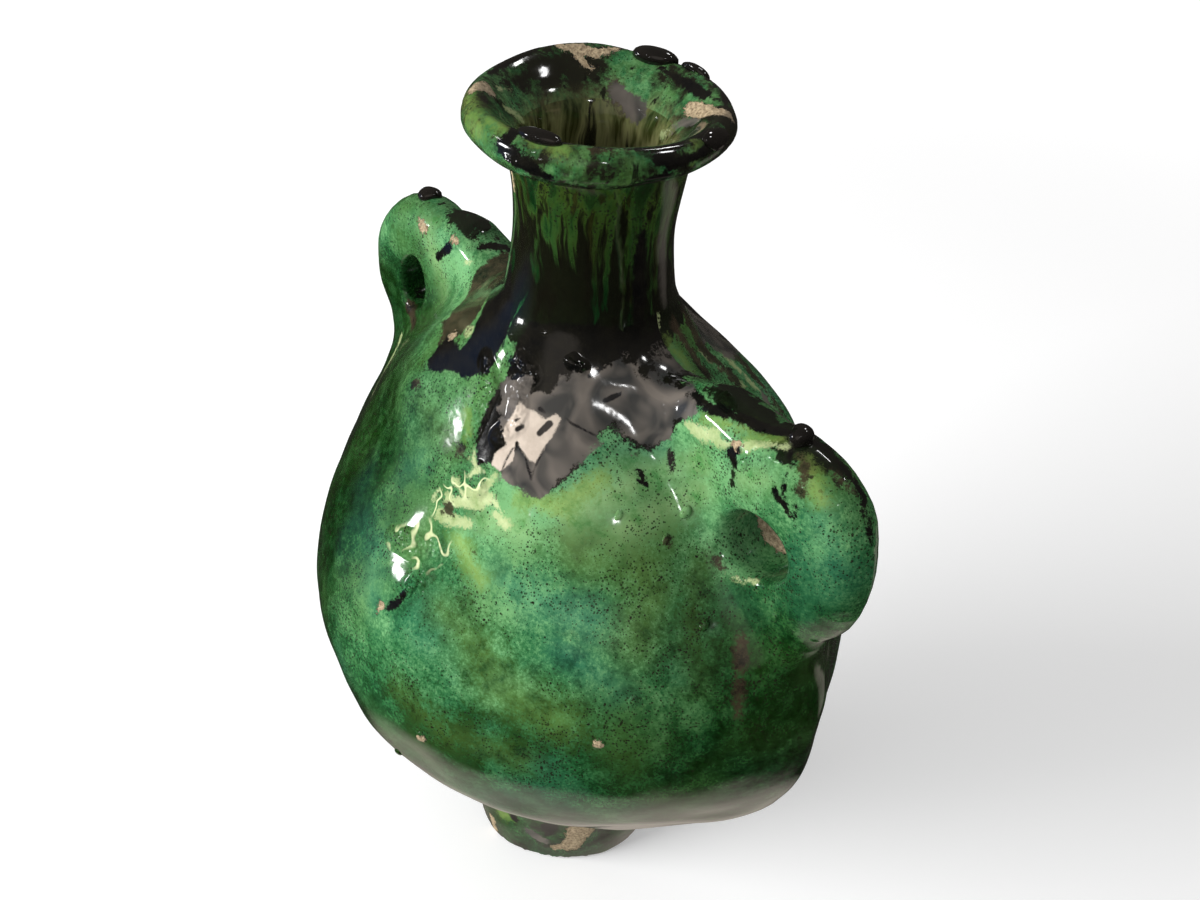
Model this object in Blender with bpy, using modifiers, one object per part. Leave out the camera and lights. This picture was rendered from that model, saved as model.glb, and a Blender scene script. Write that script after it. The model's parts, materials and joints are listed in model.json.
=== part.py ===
"""A two-lugged flask vase in glazed stoneware.

The belly is two dish-shaped halves luted together along a vertical seam, which gives it pointed ends.
A pedestal foot, a flared neck, a rolled lip and two pierced lugs are luted to it, and drops of glaze
have frozen on the lip and the lugs.

Metres, +Z up. The origin is the centre of the standing ring. +X is the end with the right lug,
and -Y is the front.
"""

import math

import bmesh
import bpy
from mathutils import Matrix, Vector

# Driving sizes, in metres. A value that isn't a length ends in share, shares, turn or count.

CLAY_GAP = 0.0003              # between two pieces that are luted together
OVERRUN = 0.02                 # how far a cutter runs past what it cuts

# The pedestal foot, an open ring.
FOOT_RADIUS = 0.037            # where it stands
FOOT_TOP_RADIUS = 0.046        # where the belly sits on it
FOOT_HEIGHT = 0.044
FOOT_WALL = 0.009
FOOT_EDGE = 0.0012             # the worn edge round the standing ring
FOOT_WAIST_SHARES = ((0.18, 0.11), (0.45, 0.25), (0.72, 0.48), (0.90, 0.78))  # height, swell to the top

# The belly: two halves with one outline.
BELLY_LENGTH = 0.251           # from one end of the seam to the other
BELLY_DEPTH = 0.202            # front to back
BELLY_HEIGHT = 0.220           # from the foot to the neck
BELLY_WALL = 0.008
BELLY_WIDEST_SHARE = 0.55      # height of the widest level, as a share of the belly's height

# Levels of the belly: height as a share of its height, then how far its length and its depth have
# swelled from the joint below, or above, to the widest. Last, how round the section is: 2 is an
# ellipse, and less than that draws its two ends to a point.
BELLY_LEVEL_SHARES = (
    (0.000, 0.00, 0.00, 2.00),
    (0.065, 0.16, 0.13, 1.85),
    (0.140, 0.44, 0.40, 1.60),
    (0.230, 0.70, 0.67, 1.45),
    (0.335, 0.88, 0.89, 1.40),
    (0.455, 0.99, 1.00, 1.36),
    (0.570, 1.00, 0.90, 1.38),
    (0.670, 0.91, 0.72, 1.42),
    (0.765, 0.69, 0.50, 1.55),
    (0.855, 0.42, 0.36, 1.80),
    (0.935, 0.18, 0.18, 1.92),
    (1.000, 0.00, 0.00, 2.00),
)

# Where hands left the belly fuller than its outline: the back of the right shoulder. The place is given by
# shares of the half length, of the half depth and of the belly's height.
SWELL_HEIGHT = 0.0075          # how far it stands out
SWELL_REACH = 0.036            # how far round its middle it fades out
SWELL_SHARES = (0.43, 0.45, 0.855)
JOINT_CALM_SHARE = 0.10        # how near a joint it fades to nothing, as a share of the height

# The neck and the lip.
NECK_ROOT_RADIUS = 0.039       # where it sits on the belly
NECK_RADIUS = 0.0265           # at its narrowest
NECK_HEIGHT = 0.075            # from the belly to the middle of the lip's roll
NECK_WALL = 0.008
LIP_RADIUS = 0.042             # to the outside of the roll
LIP_ROLL = 0.0126              # how thick the roll is
MOUTH_WALL = 0.0022            # the neck's wall inside the roll, thinned where it flares

# The neck's outside: height as a share of the neck, then the share of the way in from the root's radius
# to the narrowest. Above the narrowest, how far it has flared back out to the roll.
NECK_FALL_SHARES = ((0.00, 0.00), (0.04, 0.26), (0.10, 0.54), (0.18, 0.78), (0.29, 0.94), (0.48, 1.00))
NECK_FLARE_SHARES = ((0.64, 0.04), (0.78, 0.12), (0.88, 0.38), (0.94, 0.66), (1.00, 0.92))
THROAT_END_SHARE = 0.72        # where the mouth starts to open out, as a share of the neck's height

# The lugs: an ear round a finger hole, with a web along the seam to the neck and down to the belly.
LUG_WEB = 0.0125               # the clay between the belly and the hole, level with its middle
LUG_RIM = 0.0225               # the clay round the hole
LUG_HOLE = 0.028               # the hole's diameter
LUG_HOLE_DROP = 0.028          # from the neck's joint down to the hole's middle
LUG_THICKNESS = 0.023          # at the ear's outside
LUG_ROOT_THICKNESS = 0.032     # where the web meets the neck
LUG_ROUNDING = 0.0085          # round both edges of the ear
LUG_HOLE_ROUNDING = 0.004      # round both ends of the hole
RIDGE_DROP = 0.006             # how far the web's top falls from the ear to the neck
RIDGE_SAG_SHARE = 0.35         # how much of that it has fallen halfway
EAR_START_TURN = -0.115        # the ear's arc round the hole, in turns from straight out
EAR_END_TURN = 0.255
# The tail runs from the ear down the seam into the belly: out as a share of the belly's half length,
# then up from the belly's widest level to the end of the ear's arc.
LUG_TAIL_SHARES = ((0.940, 0.15), (0.972, 0.58), (0.968, 0.79))

# Frozen drops of glaze on the lip. Turns round the lip are counted from +X, and turns up the roll from
# its outside. The shares are of the roll's thickness: the drop's width along the lip, then its depth.
LIP_BEAD_SHARES = {
    "lip_glaze_bead_front": (-0.19, 0.23, 1.10, 0.48),
    "lip_glaze_bead_back": (0.31, 0.20, 0.64, 0.42),
    "lip_glaze_bead_side": (0.25, 0.12, 0.60, 0.40),
    "lip_glaze_bead_end": (0.05, 0.10, 1.20, 0.38),
}
LUG_BEAD_WIDTH = 0.0080
LUG_BEAD_HEIGHT = 0.0075
LUG_BEAD_TURN = 0.252          # round the ear from straight out
BEAD_SINK_SHARE = 0.30         # how deep a drop sits in its seat, as a share of its thickness

# How finely the round pieces are divided.
TURN_STEPS = 36
BELLY_STEPS = 40
BELLY_LEVELS = 17
ARC_STEPS = 12
ROUNDING_STEPS = 3
BEAD_STEPS = (10, 7)

# Worked out from the sizes above.
BELLY_TOP = FOOT_HEIGHT + BELLY_HEIGHT
LIP_MIDDLE = BELLY_TOP + NECK_HEIGHT
ROLL_RADIUS = LIP_ROLL / 2
ROLL_CENTRE = LIP_RADIUS - ROLL_RADIUS
EAR_RADIUS = LUG_HOLE / 2 + LUG_RIM
HOLE_HEIGHT = BELLY_TOP - LUG_HOLE_DROP
MERGE_DISTANCE = CLAY_GAP / 10

# name: sRGB colour, roughness, metallic
FINISHES = {
    "green_glaze_front": ("#2F6E47", 0.16, 0.0),
    "green_glaze_back": ("#2B6540", 0.18, 0.0),
    "dark_green_foot_glaze": ("#26382A", 0.24, 0.0),
    "streaked_neck_glaze": ("#24452F", 0.14, 0.0),
    "mottled_lip_glaze": ("#2F4C35", 0.15, 0.0),
    "green_lug_glaze": ("#2E6B45", 0.16, 0.0),
    "dark_lug_glaze": ("#284F36", 0.18, 0.0),
    "black_glaze": ("#15161A", 0.08, 0.0),
}


def main():
    """Builds every piece of the vase."""
    clear_scene()
    vase = new_collection("flask_vase")
    cutters = new_collection("cutters")
    cutters.hide_render = True

    belly_space = add_belly_space(cutters)
    neck_space = add_neck_space(cutters)

    add_belly_half(vase, cutters, "body_half_front", 1, "green_glaze_front")
    add_belly_half(vase, cutters, "body_half_back", -1, "green_glaze_back")
    add_foot(vase)
    add_neck(vase)
    add_lip(vase)
    for name, side, finish_name in (("lug_right", 1, "green_lug_glaze"), ("lug_left", -1, "dark_lug_glaze")):
        lug = add_lug(vase, name, side, finish_name)
        cut(lug, add_hole_cutter(cutters, name + "_hole", side))
        cut(lug, belly_space)
        cut(lug, neck_space)
    add_lip_beads(vase, cutters)
    add_lug_bead(vase, cutters, "lug_right_glaze_bead", 1)
    add_lug_bead(vase, cutters, "lug_left_glaze_bead", -1)


# Scene, collections and finishes

def clear_scene():
    """Removes whatever the file holds."""
    for item in list(bpy.data.objects):
        bpy.data.objects.remove(item, do_unlink=True)


def new_collection(name):
    """Adds a collection to the scene."""
    group = bpy.data.collections.new(name)
    bpy.context.scene.collection.children.link(group)
    return group


def linear(channel):
    """Turns one sRGB channel, 0 to 1, to linear light."""
    if channel <= 0.04045:
        return channel / 12.92
    return ((channel + 0.055) / 1.055) ** 2.4


def finish(name):
    """The Principled material of one finish."""
    known = bpy.data.materials.get(name)
    if known:
        return known
    code, roughness, metallic = FINISHES[name]
    material = bpy.data.materials.new(name)
    material.use_nodes = True
    shader = material.node_tree.nodes["Principled BSDF"]
    channels = [linear(int(code[start:start + 2], 16) / 255) for start in (1, 3, 5)]
    shader.inputs["Base Color"].default_value = (*channels, 1.0)
    shader.inputs["Roughness"].default_value = roughness
    shader.inputs["Metallic"].default_value = metallic
    material.diffuse_color = (*channels, 1.0)
    return material


def add_object(group, name, mesh, finish_name=None):
    """Puts a mesh in the scene as a named object, smooth over its round faces."""
    item = bpy.data.objects.new(name, mesh)
    group.objects.link(item)
    if finish_name:
        mesh.materials.append(finish(finish_name))
    mesh.shade_smooth()
    mesh.set_sharp_from_angle(angle=math.radians(50))
    return item


def add_cutter(group, name, mesh):
    """Puts a mesh in the scene as a cutter."""
    item = bpy.data.objects.new(name, mesh)
    group.objects.link(item)
    item.hide_render = True
    item.display_type = "WIRE"
    return item


def cut(item, cutter):
    """Cuts an object by a cutter."""
    step = item.modifiers.new("cut_" + cutter.name, "BOOLEAN")
    step.object = cutter
    step.operation = "DIFFERENCE"
    step.solver = "EXACT"


# Curves through a few points

def row_at(rows, at):
    """Reads one row from a smooth curve through the rows, at a value of their first column.

    The slopes are the monotone kind, so a swell stays a swell and never overshoots.
    """
    places, *columns = zip(*rows)
    before = 0
    while before < len(rows) - 2 and at > places[before + 1]:
        before += 1
    span = places[before + 1] - places[before]
    along = (at - places[before]) / span
    values = []
    for column in columns:
        slopes = monotone_slopes(places, column)
        values.append(hermite(
            column[before], column[before + 1], slopes[before] * span, slopes[before + 1] * span, along
        ))
    return values


def monotone_slopes(places, values):
    """The slope at each point of a curve that never overshoots its points."""
    rises = [
        (values[i + 1] - values[i]) / (places[i + 1] - places[i]) for i in range(len(values) - 1)
    ]
    slopes = [rises[0]]
    for before, after in zip(rises, rises[1:]):
        same_way = before * after > 0
        slopes.append(2 * before * after / (before + after) if same_way else 0)
    slopes.append(rises[-1])
    return slopes


def hermite(start, end, start_slope, end_slope, along):
    """A cubic between two values with the given slopes."""
    left = 1 - along
    return (
        start * (1 + 2 * along) * left ** 2
        + end * (3 - 2 * along) * along ** 2
        + start_slope * along * left ** 2
        - end_slope * left * along ** 2
    )


# The belly

def belly_level(share):
    """The belly at a share of its height: height, half length, half depth and roundness."""
    length_swell, depth_swell, roundness = row_at(BELLY_LEVEL_SHARES, share)
    joint = FOOT_TOP_RADIUS if share < BELLY_WIDEST_SHARE else NECK_ROOT_RADIUS
    half_length = joint + (BELLY_LENGTH / 2 - joint) * length_swell
    half_depth = joint + (BELLY_DEPTH / 2 - joint) * depth_swell
    return FOOT_HEIGHT + BELLY_HEIGHT * share, half_length, half_depth, roundness


def belly_ring(half_length, half_depth, roundness):
    """The points round one level, starting at the end of the seam."""
    ring = []
    for step in range(BELLY_STEPS):
        angle = math.tau * step / BELLY_STEPS
        across = math.copysign(abs(math.sin(angle)) ** (2 / roundness), math.sin(angle))
        ring.append((half_length * math.cos(angle), half_depth * across))
    return ring


def belly_shape(closed_top, run_up=0):
    """The belly's outside as a loft through its levels, swelled by hand, with a flat floor."""
    shape = bmesh.new()
    levels = [belly_level(step / (BELLY_LEVELS - 1)) for step in range(BELLY_LEVELS)]
    if run_up:
        height, half_length, half_depth, roundness = levels[-1]
        lower_height, lower_length, lower_depth, _ = levels[-2]
        more = run_up / (height - lower_height)
        levels.append((
            height + run_up,
            half_length + (half_length - lower_length) * more,
            half_depth + (half_depth - lower_depth) * more,
            roundness,
        ))
    rings = []
    for height, half_length, half_depth, roundness in levels:
        points = belly_ring(half_length, half_depth, roundness)
        rings.append([shape.verts.new((x, y, height)) for x, y in points])
    for lower, upper in zip(rings, rings[1:]):
        for i in range(BELLY_STEPS):
            j = (i + 1) % BELLY_STEPS
            shape.faces.new((lower[i], lower[j], upper[j], upper[i]))
    shape.normal_update()
    swell_belly(rings)
    shape.faces.new(list(reversed(rings[0])))
    if closed_top:
        shape.faces.new(rings[-1])
    return shape


def swell_belly(rings):
    """Moves the wall out where hands have left it full."""
    along, across, level = SWELL_SHARES
    middle = Vector((
        along * BELLY_LENGTH / 2, across * BELLY_DEPTH / 2, FOOT_HEIGHT + BELLY_HEIGHT * level
    ))
    moves = []
    for vert in (vert for ring in rings for vert in ring):
        up = (vert.co.z - FOOT_HEIGHT) / BELLY_HEIGHT
        calm = max(0.0, min(1.0, up / JOINT_CALM_SHARE, (1 - up) / JOINT_CALM_SHARE))
        away = (vert.co - middle).length / SWELL_REACH
        moves.append((vert, vert.normal * (SWELL_HEIGHT * math.exp(-away ** 2) * calm)))
    for vert, move in moves:
        vert.co += move


def to_mesh(shape, name):
    """Turns a bmesh into a mesh."""
    mesh = bpy.data.meshes.new(name)
    shape.to_mesh(mesh)
    shape.free()
    return mesh


def add_belly_space(cutters):
    """The belly's outside, grown by the gap: what the lugs are cut back to."""
    shape = belly_shape(closed_top=True)
    shape.normal_update()
    for vert in shape.verts:
        vert.co += vert.normal * CLAY_GAP
    return add_cutter(cutters, "belly_space", to_mesh(shape, "belly_space"))


def add_box(cutters, name, low, high):
    """A box cutter between two corners."""
    shape = bmesh.new()
    bmesh.ops.create_cube(shape, size=1)
    for vert in shape.verts:
        share = vert.co + Vector((0.5, 0.5, 0.5))
        vert.co = Vector(a + (b - a) * s for a, b, s in zip(low, high, share))
    return add_cutter(cutters, name, to_mesh(shape, name))


def add_belly_half(vase, cutters, name, side, finish_name):
    """One dish-shaped half of the belly. side is 1 at the front and -1 at the back."""
    wide = BELLY_LENGTH / 2 + OVERRUN
    deep = BELLY_DEPTH / 2 + OVERRUN
    seam = -side * CLAY_GAP / 2
    beyond = side * deep
    box = add_box(
        cutters,
        name + "_other_side",
        (-wide, min(seam, beyond), FOOT_HEIGHT - OVERRUN),
        (wide, max(seam, beyond), BELLY_TOP + OVERRUN * 2),
    )
    top = add_box(
        cutters,
        name + "_neck_joint",
        (-wide, -deep, BELLY_TOP),
        (wide, deep, BELLY_TOP + OVERRUN * 2),
    )
    skin = belly_shape(closed_top=False, run_up=BELLY_WALL)
    item = add_object(vase, name, to_mesh(skin, name), finish_name)
    shell = item.modifiers.new("wall", "SOLIDIFY")
    shell.thickness = BELLY_WALL
    shell.offset = -1
    shell.use_even_offset = True
    cut(item, top)
    cut(item, box)


# The turned pieces

def open_profile(name, profile):
    """A line of (radius, height) pairs, for a solid that reaches the axis at both ends."""
    shape = bmesh.new()
    points = [shape.verts.new((radius, 0, height)) for radius, height in profile]
    for point, following in zip(points, points[1:]):
        shape.edges.new((point, following))
    return to_mesh(shape, name)


def closed_profile(name, profile):
    """A loop of (radius, height) pairs, for a ring."""
    shape = bmesh.new()
    points = [shape.verts.new((radius, 0, height)) for radius, height in profile]
    for point, following in zip(points, points[1:] + points[:1]):
        shape.edges.new((point, following))
    return to_mesh(shape, name)


def turn(item):
    """Sweeps the profile round the axis."""
    sweep = item.modifiers.new("turning", "SCREW")
    sweep.axis = "Z"
    sweep.steps = TURN_STEPS
    sweep.render_steps = TURN_STEPS
    sweep.use_merge_vertices = True
    sweep.merge_threshold = MERGE_DISTANCE
    sweep.use_smooth_shade = True


def add_foot(vase):
    """The pedestal foot, tapering down to its standing ring."""
    top = FOOT_HEIGHT - CLAY_GAP
    swell = FOOT_TOP_RADIUS - FOOT_RADIUS
    outside = [(FOOT_RADIUS + swell * out, top * up) for up, out in reversed(FOOT_WAIST_SHARES)]
    profile = [(FOOT_TOP_RADIUS, top)]
    profile += outside
    profile += [
        (FOOT_RADIUS, FOOT_EDGE),
        (FOOT_RADIUS - FOOT_EDGE, 0),
        (FOOT_RADIUS - FOOT_WALL + FOOT_EDGE, 0),
        (FOOT_RADIUS - FOOT_WALL, FOOT_EDGE),
    ]
    profile += [(radius - FOOT_WALL, height) for radius, height in reversed(outside)]
    profile += [(FOOT_TOP_RADIUS - FOOT_WALL, top)]
    item = add_object(vase, "foot_ring", closed_profile("foot_ring", profile), "dark_green_foot_glaze")
    turn(item)


def neck_outside():
    """The neck's outside from its root up to the mouth, as (radius, height) pairs."""
    root = BELLY_TOP + CLAY_GAP
    rise = LIP_MIDDLE - root
    points = []
    for up, inward in NECK_FALL_SHARES:
        points.append((NECK_ROOT_RADIUS + (NECK_RADIUS - NECK_ROOT_RADIUS) * inward, root + rise * up))
    for up, outward in NECK_FLARE_SHARES:
        points.append((NECK_RADIUS + (ROLL_CENTRE - NECK_RADIUS) * outward, root + rise * up))
    return points


def neck_inside(outside):
    """The bore: a steady wall up to the throat, then thinning to the mouth."""
    throat = BELLY_TOP + NECK_HEIGHT * THROAT_END_SHARE
    points = []
    for radius, height in outside:
        above = max(0, (height - throat) / (LIP_MIDDLE - throat))
        wall = NECK_WALL + (MOUTH_WALL - NECK_WALL) * above
        points.append((radius - wall, height))
    return points


def add_neck(vase):
    """The neck, from the flat joint on the belly up to the mouth inside the lip's roll."""
    outside = neck_outside()
    mouth_radius = outside[-1][0]
    rim = LIP_MIDDLE + ROLL_RADIUS - MOUTH_WALL
    profile = [(mouth_radius, rim)]
    profile += list(reversed(outside))
    profile += neck_inside(outside)
    profile += [(mouth_radius - MOUTH_WALL, rim)]
    item = add_object(vase, "neck_tube", closed_profile("neck_tube", profile), "streaked_neck_glaze")
    turn(item)


def add_neck_space(cutters):
    """The neck's outside as a solid, grown by the gap: what the lugs are cut back to."""
    low = BELLY_TOP - OVERRUN
    outside = neck_outside()
    high = outside[-1][1]
    profile = [(0, high)]
    profile += [(radius + CLAY_GAP, height) for radius, height in reversed(outside)]
    profile += [(NECK_ROOT_RADIUS + CLAY_GAP, low), (0, low)]
    item = add_cutter(cutters, "neck_space", open_profile("neck_space", profile))
    turn(item)
    return item


def roll_point(angle, distance):
    """A point round the lip's roll, as (radius, height)."""
    return (ROLL_CENTRE + distance * math.cos(angle), LIP_MIDDLE + distance * math.sin(angle))


def add_lip(vase):
    """The rolled lip: a round coil whose inner side lies on the neck's flare."""
    seat = [
        (radius + CLAY_GAP, height) for radius, height in neck_outside()
        if height > LIP_MIDDLE - ROLL_RADIUS
    ]
    under = seat[0]
    crest = (seat[-1][0], LIP_MIDDLE + ROLL_RADIUS)
    start = math.asin(min(1, (under[1] - LIP_MIDDLE) / ROLL_RADIUS))
    profile = [crest]
    for step in range(ARC_STEPS + 1):
        angle = math.pi / 2 + (start - math.pi / 2) * step / ARC_STEPS
        profile.append(roll_point(angle, ROLL_RADIUS))
    profile += seat
    item = add_object(vase, "lip_roll", closed_profile("lip_roll", profile), "mottled_lip_glaze")
    turn(item)


# The lugs

def hole_out():
    """How far the hole's middle is from the middle of the vase: past the belly and the web."""
    belly_reach = belly_level((HOLE_HEIGHT - FOOT_HEIGHT) / BELLY_HEIGHT)[1]
    return belly_reach + LUG_WEB + LUG_HOLE / 2


def ear_point(turns, radius):
    """A point round the lug's hole, as (out, up)."""
    angle = math.tau * turns
    return (hole_out() + radius * math.cos(angle), HOLE_HEIGHT + radius * math.sin(angle))


def lug_outline():
    """The lug from the side: the tail up the seam, the ear's arc, and the web to the neck."""
    widest = FOOT_HEIGHT + BELLY_HEIGHT * BELLY_WIDEST_SHARE
    ear_foot = ear_point(EAR_START_TURN, EAR_RADIUS)[1]
    points = [
        (BELLY_LENGTH / 2 * out, widest + (ear_foot - widest) * up) for out, up in LUG_TAIL_SHARES
    ]
    for step in range(ARC_STEPS + 1):
        turns = EAR_START_TURN + (EAR_END_TURN - EAR_START_TURN) * step / ARC_STEPS
        points.append(ear_point(turns, EAR_RADIUS))
    ear_end, ridge = points[-1]
    points += [
        ((NECK_ROOT_RADIUS + ear_end) / 2, ridge - RIDGE_DROP * RIDGE_SAG_SHARE),
        (NECK_ROOT_RADIUS, ridge - RIDGE_DROP),
        (NECK_RADIUS, ridge - RIDGE_DROP),
        (NECK_RADIUS, widest),
    ]
    return points


def lug_thickness(out):
    """How thick the lug is at a distance from the middle of the vase."""
    reach = hole_out() + EAR_RADIUS
    inward = (reach - out) / (reach - NECK_RADIUS)
    return LUG_THICKNESS + (LUG_ROOT_THICKNESS - LUG_THICKNESS) * inward


def lug_shape(name, side, grow=0):
    """The lug without its hole as a closed mesh, before it is cut back to what it sits on."""
    curve = bpy.data.curves.new(name, "CURVE")
    curve.dimensions = "2D"
    curve.fill_mode = "BOTH"
    curve.extrude = LUG_THICKNESS / 2 - LUG_ROUNDING
    curve.bevel_depth = LUG_ROUNDING
    curve.bevel_resolution = ROUNDING_STEPS - 1
    curve.offset = grow - LUG_ROUNDING
    outline = lug_outline()
    line = curve.splines.new("POLY")
    line.points.add(len(outline) - 1)
    for point, (out, up) in zip(line.points, outline):
        point.co = (out, up, 0, 1)
    line.use_cyclic_u = True

    holder = bpy.data.objects.new(name + "_outline", curve)
    bpy.context.scene.collection.objects.link(holder)
    holder.rotation_euler = (math.pi / 2, 0, 0 if side > 0 else math.pi)
    bpy.context.view_layer.update()
    graph = bpy.context.evaluated_depsgraph_get()
    mesh = bpy.data.meshes.new_from_object(holder.evaluated_get(graph))
    shape = bmesh.new()
    shape.from_mesh(mesh)
    bmesh.ops.remove_doubles(shape, verts=shape.verts, dist=MERGE_DISTANCE)
    shape.transform(holder.matrix_world)
    for vert in shape.verts:
        vert.co.y *= lug_thickness(abs(vert.co.x)) / LUG_THICKNESS
    bmesh.ops.recalc_face_normals(shape, faces=shape.faces)
    if shape.calc_volume(signed=True) < 0:
        bmesh.ops.reverse_faces(shape, faces=shape.faces)
    bpy.data.objects.remove(holder, do_unlink=True)
    bpy.data.meshes.remove(mesh)
    return to_mesh(shape, name)


def add_hole_cutter(cutters, name, side):
    """A rod through the finger hole, flared at both faces to round the hole's edges."""
    half = lug_thickness(hole_out()) / 2
    radius = LUG_HOLE / 2
    wide = radius + LUG_HOLE_ROUNDING
    profile = [(0, half + OVERRUN), (wide, half + OVERRUN)]
    for step in range(ROUNDING_STEPS + 1):
        angle = math.pi / 2 * step / ROUNDING_STEPS
        profile.append((
            wide - LUG_HOLE_ROUNDING * math.sin(angle),
            half - LUG_HOLE_ROUNDING * (1 - math.cos(angle)),
        ))
    profile += [(out, -up) for out, up in reversed(profile)]
    item = add_cutter(cutters, name, open_profile(name, profile))
    turn(item)
    item.rotation_euler = (math.pi / 2, 0, 0)
    item.location = (side * hole_out(), 0, HOLE_HEIGHT)
    return item


def add_lug(vase, name, side, finish_name):
    """One lug. side is 1 at the right and -1 at the left."""
    return add_object(vase, name, lug_shape(name, side), finish_name)


# The frozen drops of glaze

def drop_shape(wide, thick, high):
    """A round drop with the given three diameters."""
    shape = bmesh.new()
    round_steps, up_steps = BEAD_STEPS
    bmesh.ops.create_uvsphere(shape, u_segments=round_steps, v_segments=up_steps, radius=0.5)
    bmesh.ops.scale(shape, vec=(wide, thick, high), verts=shape.verts)
    return shape


def add_lip_beads(vase, cutters):
    """The drops along the lip, seated in the roll."""
    ring = [
        roll_point(-math.pi * step / ARC_STEPS, ROLL_RADIUS + CLAY_GAP) for step in range(ARC_STEPS * 2)
    ]
    space = add_cutter(cutters, "lip_space", closed_profile("lip_space", ring))
    turn(space)

    for name, (turns, roll_turns, wide_share, thick_share) in LIP_BEAD_SHARES.items():
        around = math.tau * turns
        up = math.tau * roll_turns
        thick = LIP_ROLL * thick_share
        distance = ROLL_RADIUS + thick * (0.5 - BEAD_SINK_SHARE)
        radius, height = roll_point(up, distance)
        drop = drop_shape(thick, LIP_ROLL * wide_share, thick)
        bmesh.ops.rotate(drop, verts=drop.verts, cent=(0, 0, 0), matrix=Matrix.Rotation(around, 3, "Z"))
        place = Vector((radius * math.cos(around), radius * math.sin(around), height))
        bmesh.ops.translate(drop, verts=drop.verts, vec=place)
        item = add_object(vase, name, to_mesh(drop, name), "black_glaze")
        cut(item, space)


def add_lug_bead(vase, cutters, name, side):
    """The drop on top of one ear."""
    seat = add_cutter(cutters, name + "_seat", lug_shape(name + "_seat", side, grow=CLAY_GAP))
    drop = drop_shape(LUG_BEAD_WIDTH, LUG_BEAD_WIDTH, LUG_BEAD_HEIGHT)
    out, up = ear_point(LUG_BEAD_TURN, EAR_RADIUS + LUG_BEAD_HEIGHT * (0.5 - BEAD_SINK_SHARE))
    bmesh.ops.translate(drop, verts=drop.verts, vec=(side * out, 0, up))
    item = add_object(vase, name, to_mesh(drop, name), "black_glaze")
    cut(item, seat)


main()
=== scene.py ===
"""The looks of a glazed stoneware flask vase: its hand-made surface, its runny copper glaze and the light.

The shape is worked out in millimetres in the frame's own axes: +Z up the neck, +X along the seam to the
right lug, and the front of the belly towards -Y.
"""
import json
import math

import bmesh
import bpy
import numpy as np
from mathutils import Matrix, Vector

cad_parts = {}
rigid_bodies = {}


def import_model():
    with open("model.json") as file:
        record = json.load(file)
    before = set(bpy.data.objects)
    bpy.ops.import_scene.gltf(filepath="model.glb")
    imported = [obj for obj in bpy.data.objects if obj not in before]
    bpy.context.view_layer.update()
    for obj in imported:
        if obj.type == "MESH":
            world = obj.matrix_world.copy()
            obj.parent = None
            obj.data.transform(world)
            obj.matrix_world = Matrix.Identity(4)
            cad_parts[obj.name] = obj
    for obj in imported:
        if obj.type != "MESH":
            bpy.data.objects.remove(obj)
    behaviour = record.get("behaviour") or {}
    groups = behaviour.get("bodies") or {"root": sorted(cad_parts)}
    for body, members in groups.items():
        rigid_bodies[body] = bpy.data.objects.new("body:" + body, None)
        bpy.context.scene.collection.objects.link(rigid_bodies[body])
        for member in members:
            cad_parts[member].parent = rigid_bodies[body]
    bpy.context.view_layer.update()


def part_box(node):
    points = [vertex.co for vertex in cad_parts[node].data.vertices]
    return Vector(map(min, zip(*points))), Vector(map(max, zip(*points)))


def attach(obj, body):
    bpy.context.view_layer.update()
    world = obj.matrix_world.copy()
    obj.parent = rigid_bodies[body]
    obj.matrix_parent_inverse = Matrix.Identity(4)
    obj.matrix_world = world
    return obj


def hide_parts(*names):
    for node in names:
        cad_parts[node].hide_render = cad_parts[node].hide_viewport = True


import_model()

MM = 1000.0                     # millimetres in a metre


# Sizes: the main ones read from the frame, the rest given here

def box_mm(node):
    low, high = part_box(node)
    return np.array(low) * MM, np.array(high) * MM


FOOT_TOP = box_mm("foot_ring")[1][2]
FOOT_TOP_RADIUS = box_mm("foot_ring")[1][0]
BELLY_HALF_LENGTH = box_mm("body_half_front")[1][0]
BELLY_HALF_DEPTH = -box_mm("body_half_front")[0][1]
BELLY_TOP = box_mm("body_half_front")[1][2]
NECK_ROOT_RADIUS = box_mm("neck_tube")[1][0]
LIP_RADIUS = box_mm("lip_roll")[1][0]
LIP_TOP = box_mm("lip_roll")[1][2]
LUG_REACH = box_mm("lug_right")[1][0]

NECK_RADIUS = 0.68 * NECK_ROOT_RADIUS
NECK_BORE = 0.70 * NECK_RADIUS
ROLL_RADIUS = 0.15 * LIP_RADIUS          # the coil of clay that makes the lip
ROLL_HEIGHT = LIP_TOP - ROLL_RADIUS
ROLL_CENTRE = LIP_RADIUS - ROLL_RADIUS
WALL = 8.0                      # the clay of the belly
FLOOR_HEIGHT = FOOT_TOP + 7.0   # the inside floor
EAR_RADIUS = 36.5               # the lug's outside, from the middle of its hole
HOLE_HALF_HEIGHT = 11.5         # the finger that opened the hole left it wider than it is tall
# each hole, by its side: how far it sits inward and down of the solids' round one, and its stretch along X
HOLES = {1: (1.5, 1.6, 1.10), -1: (0.0, 0.0, 0.80)}
HOLE_OUT = LUG_REACH - EAR_RADIUS
HOLE_HEIGHT = BELLY_TOP - 28.0
LUG_HALF_THICKNESS = 11.5
LUG_BLEND = 14.0                # the clay smeared into the corner where a lug joins
EDGE_BLEND = 5.0                # the smaller corners: the underside of the lip
HOLE_EDGE_BLEND = 3.4           # and the edge of the finger hole
THROAT_BLEND = 3.0              # the edge of the throat
FOOT_BLEND = 1.0                # and the edge that the foot stands on
LUG_START, LUG_FLOOR = 8.0, 140.0       # a lug's clay lies further out than this, and higher
LIP_SEAT = ROLL_HEIGHT - 0.85 * ROLL_RADIUS
JOINT_LIFT = 1.5                # how far the belly's share of that smeared clay stands off its wall
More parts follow.
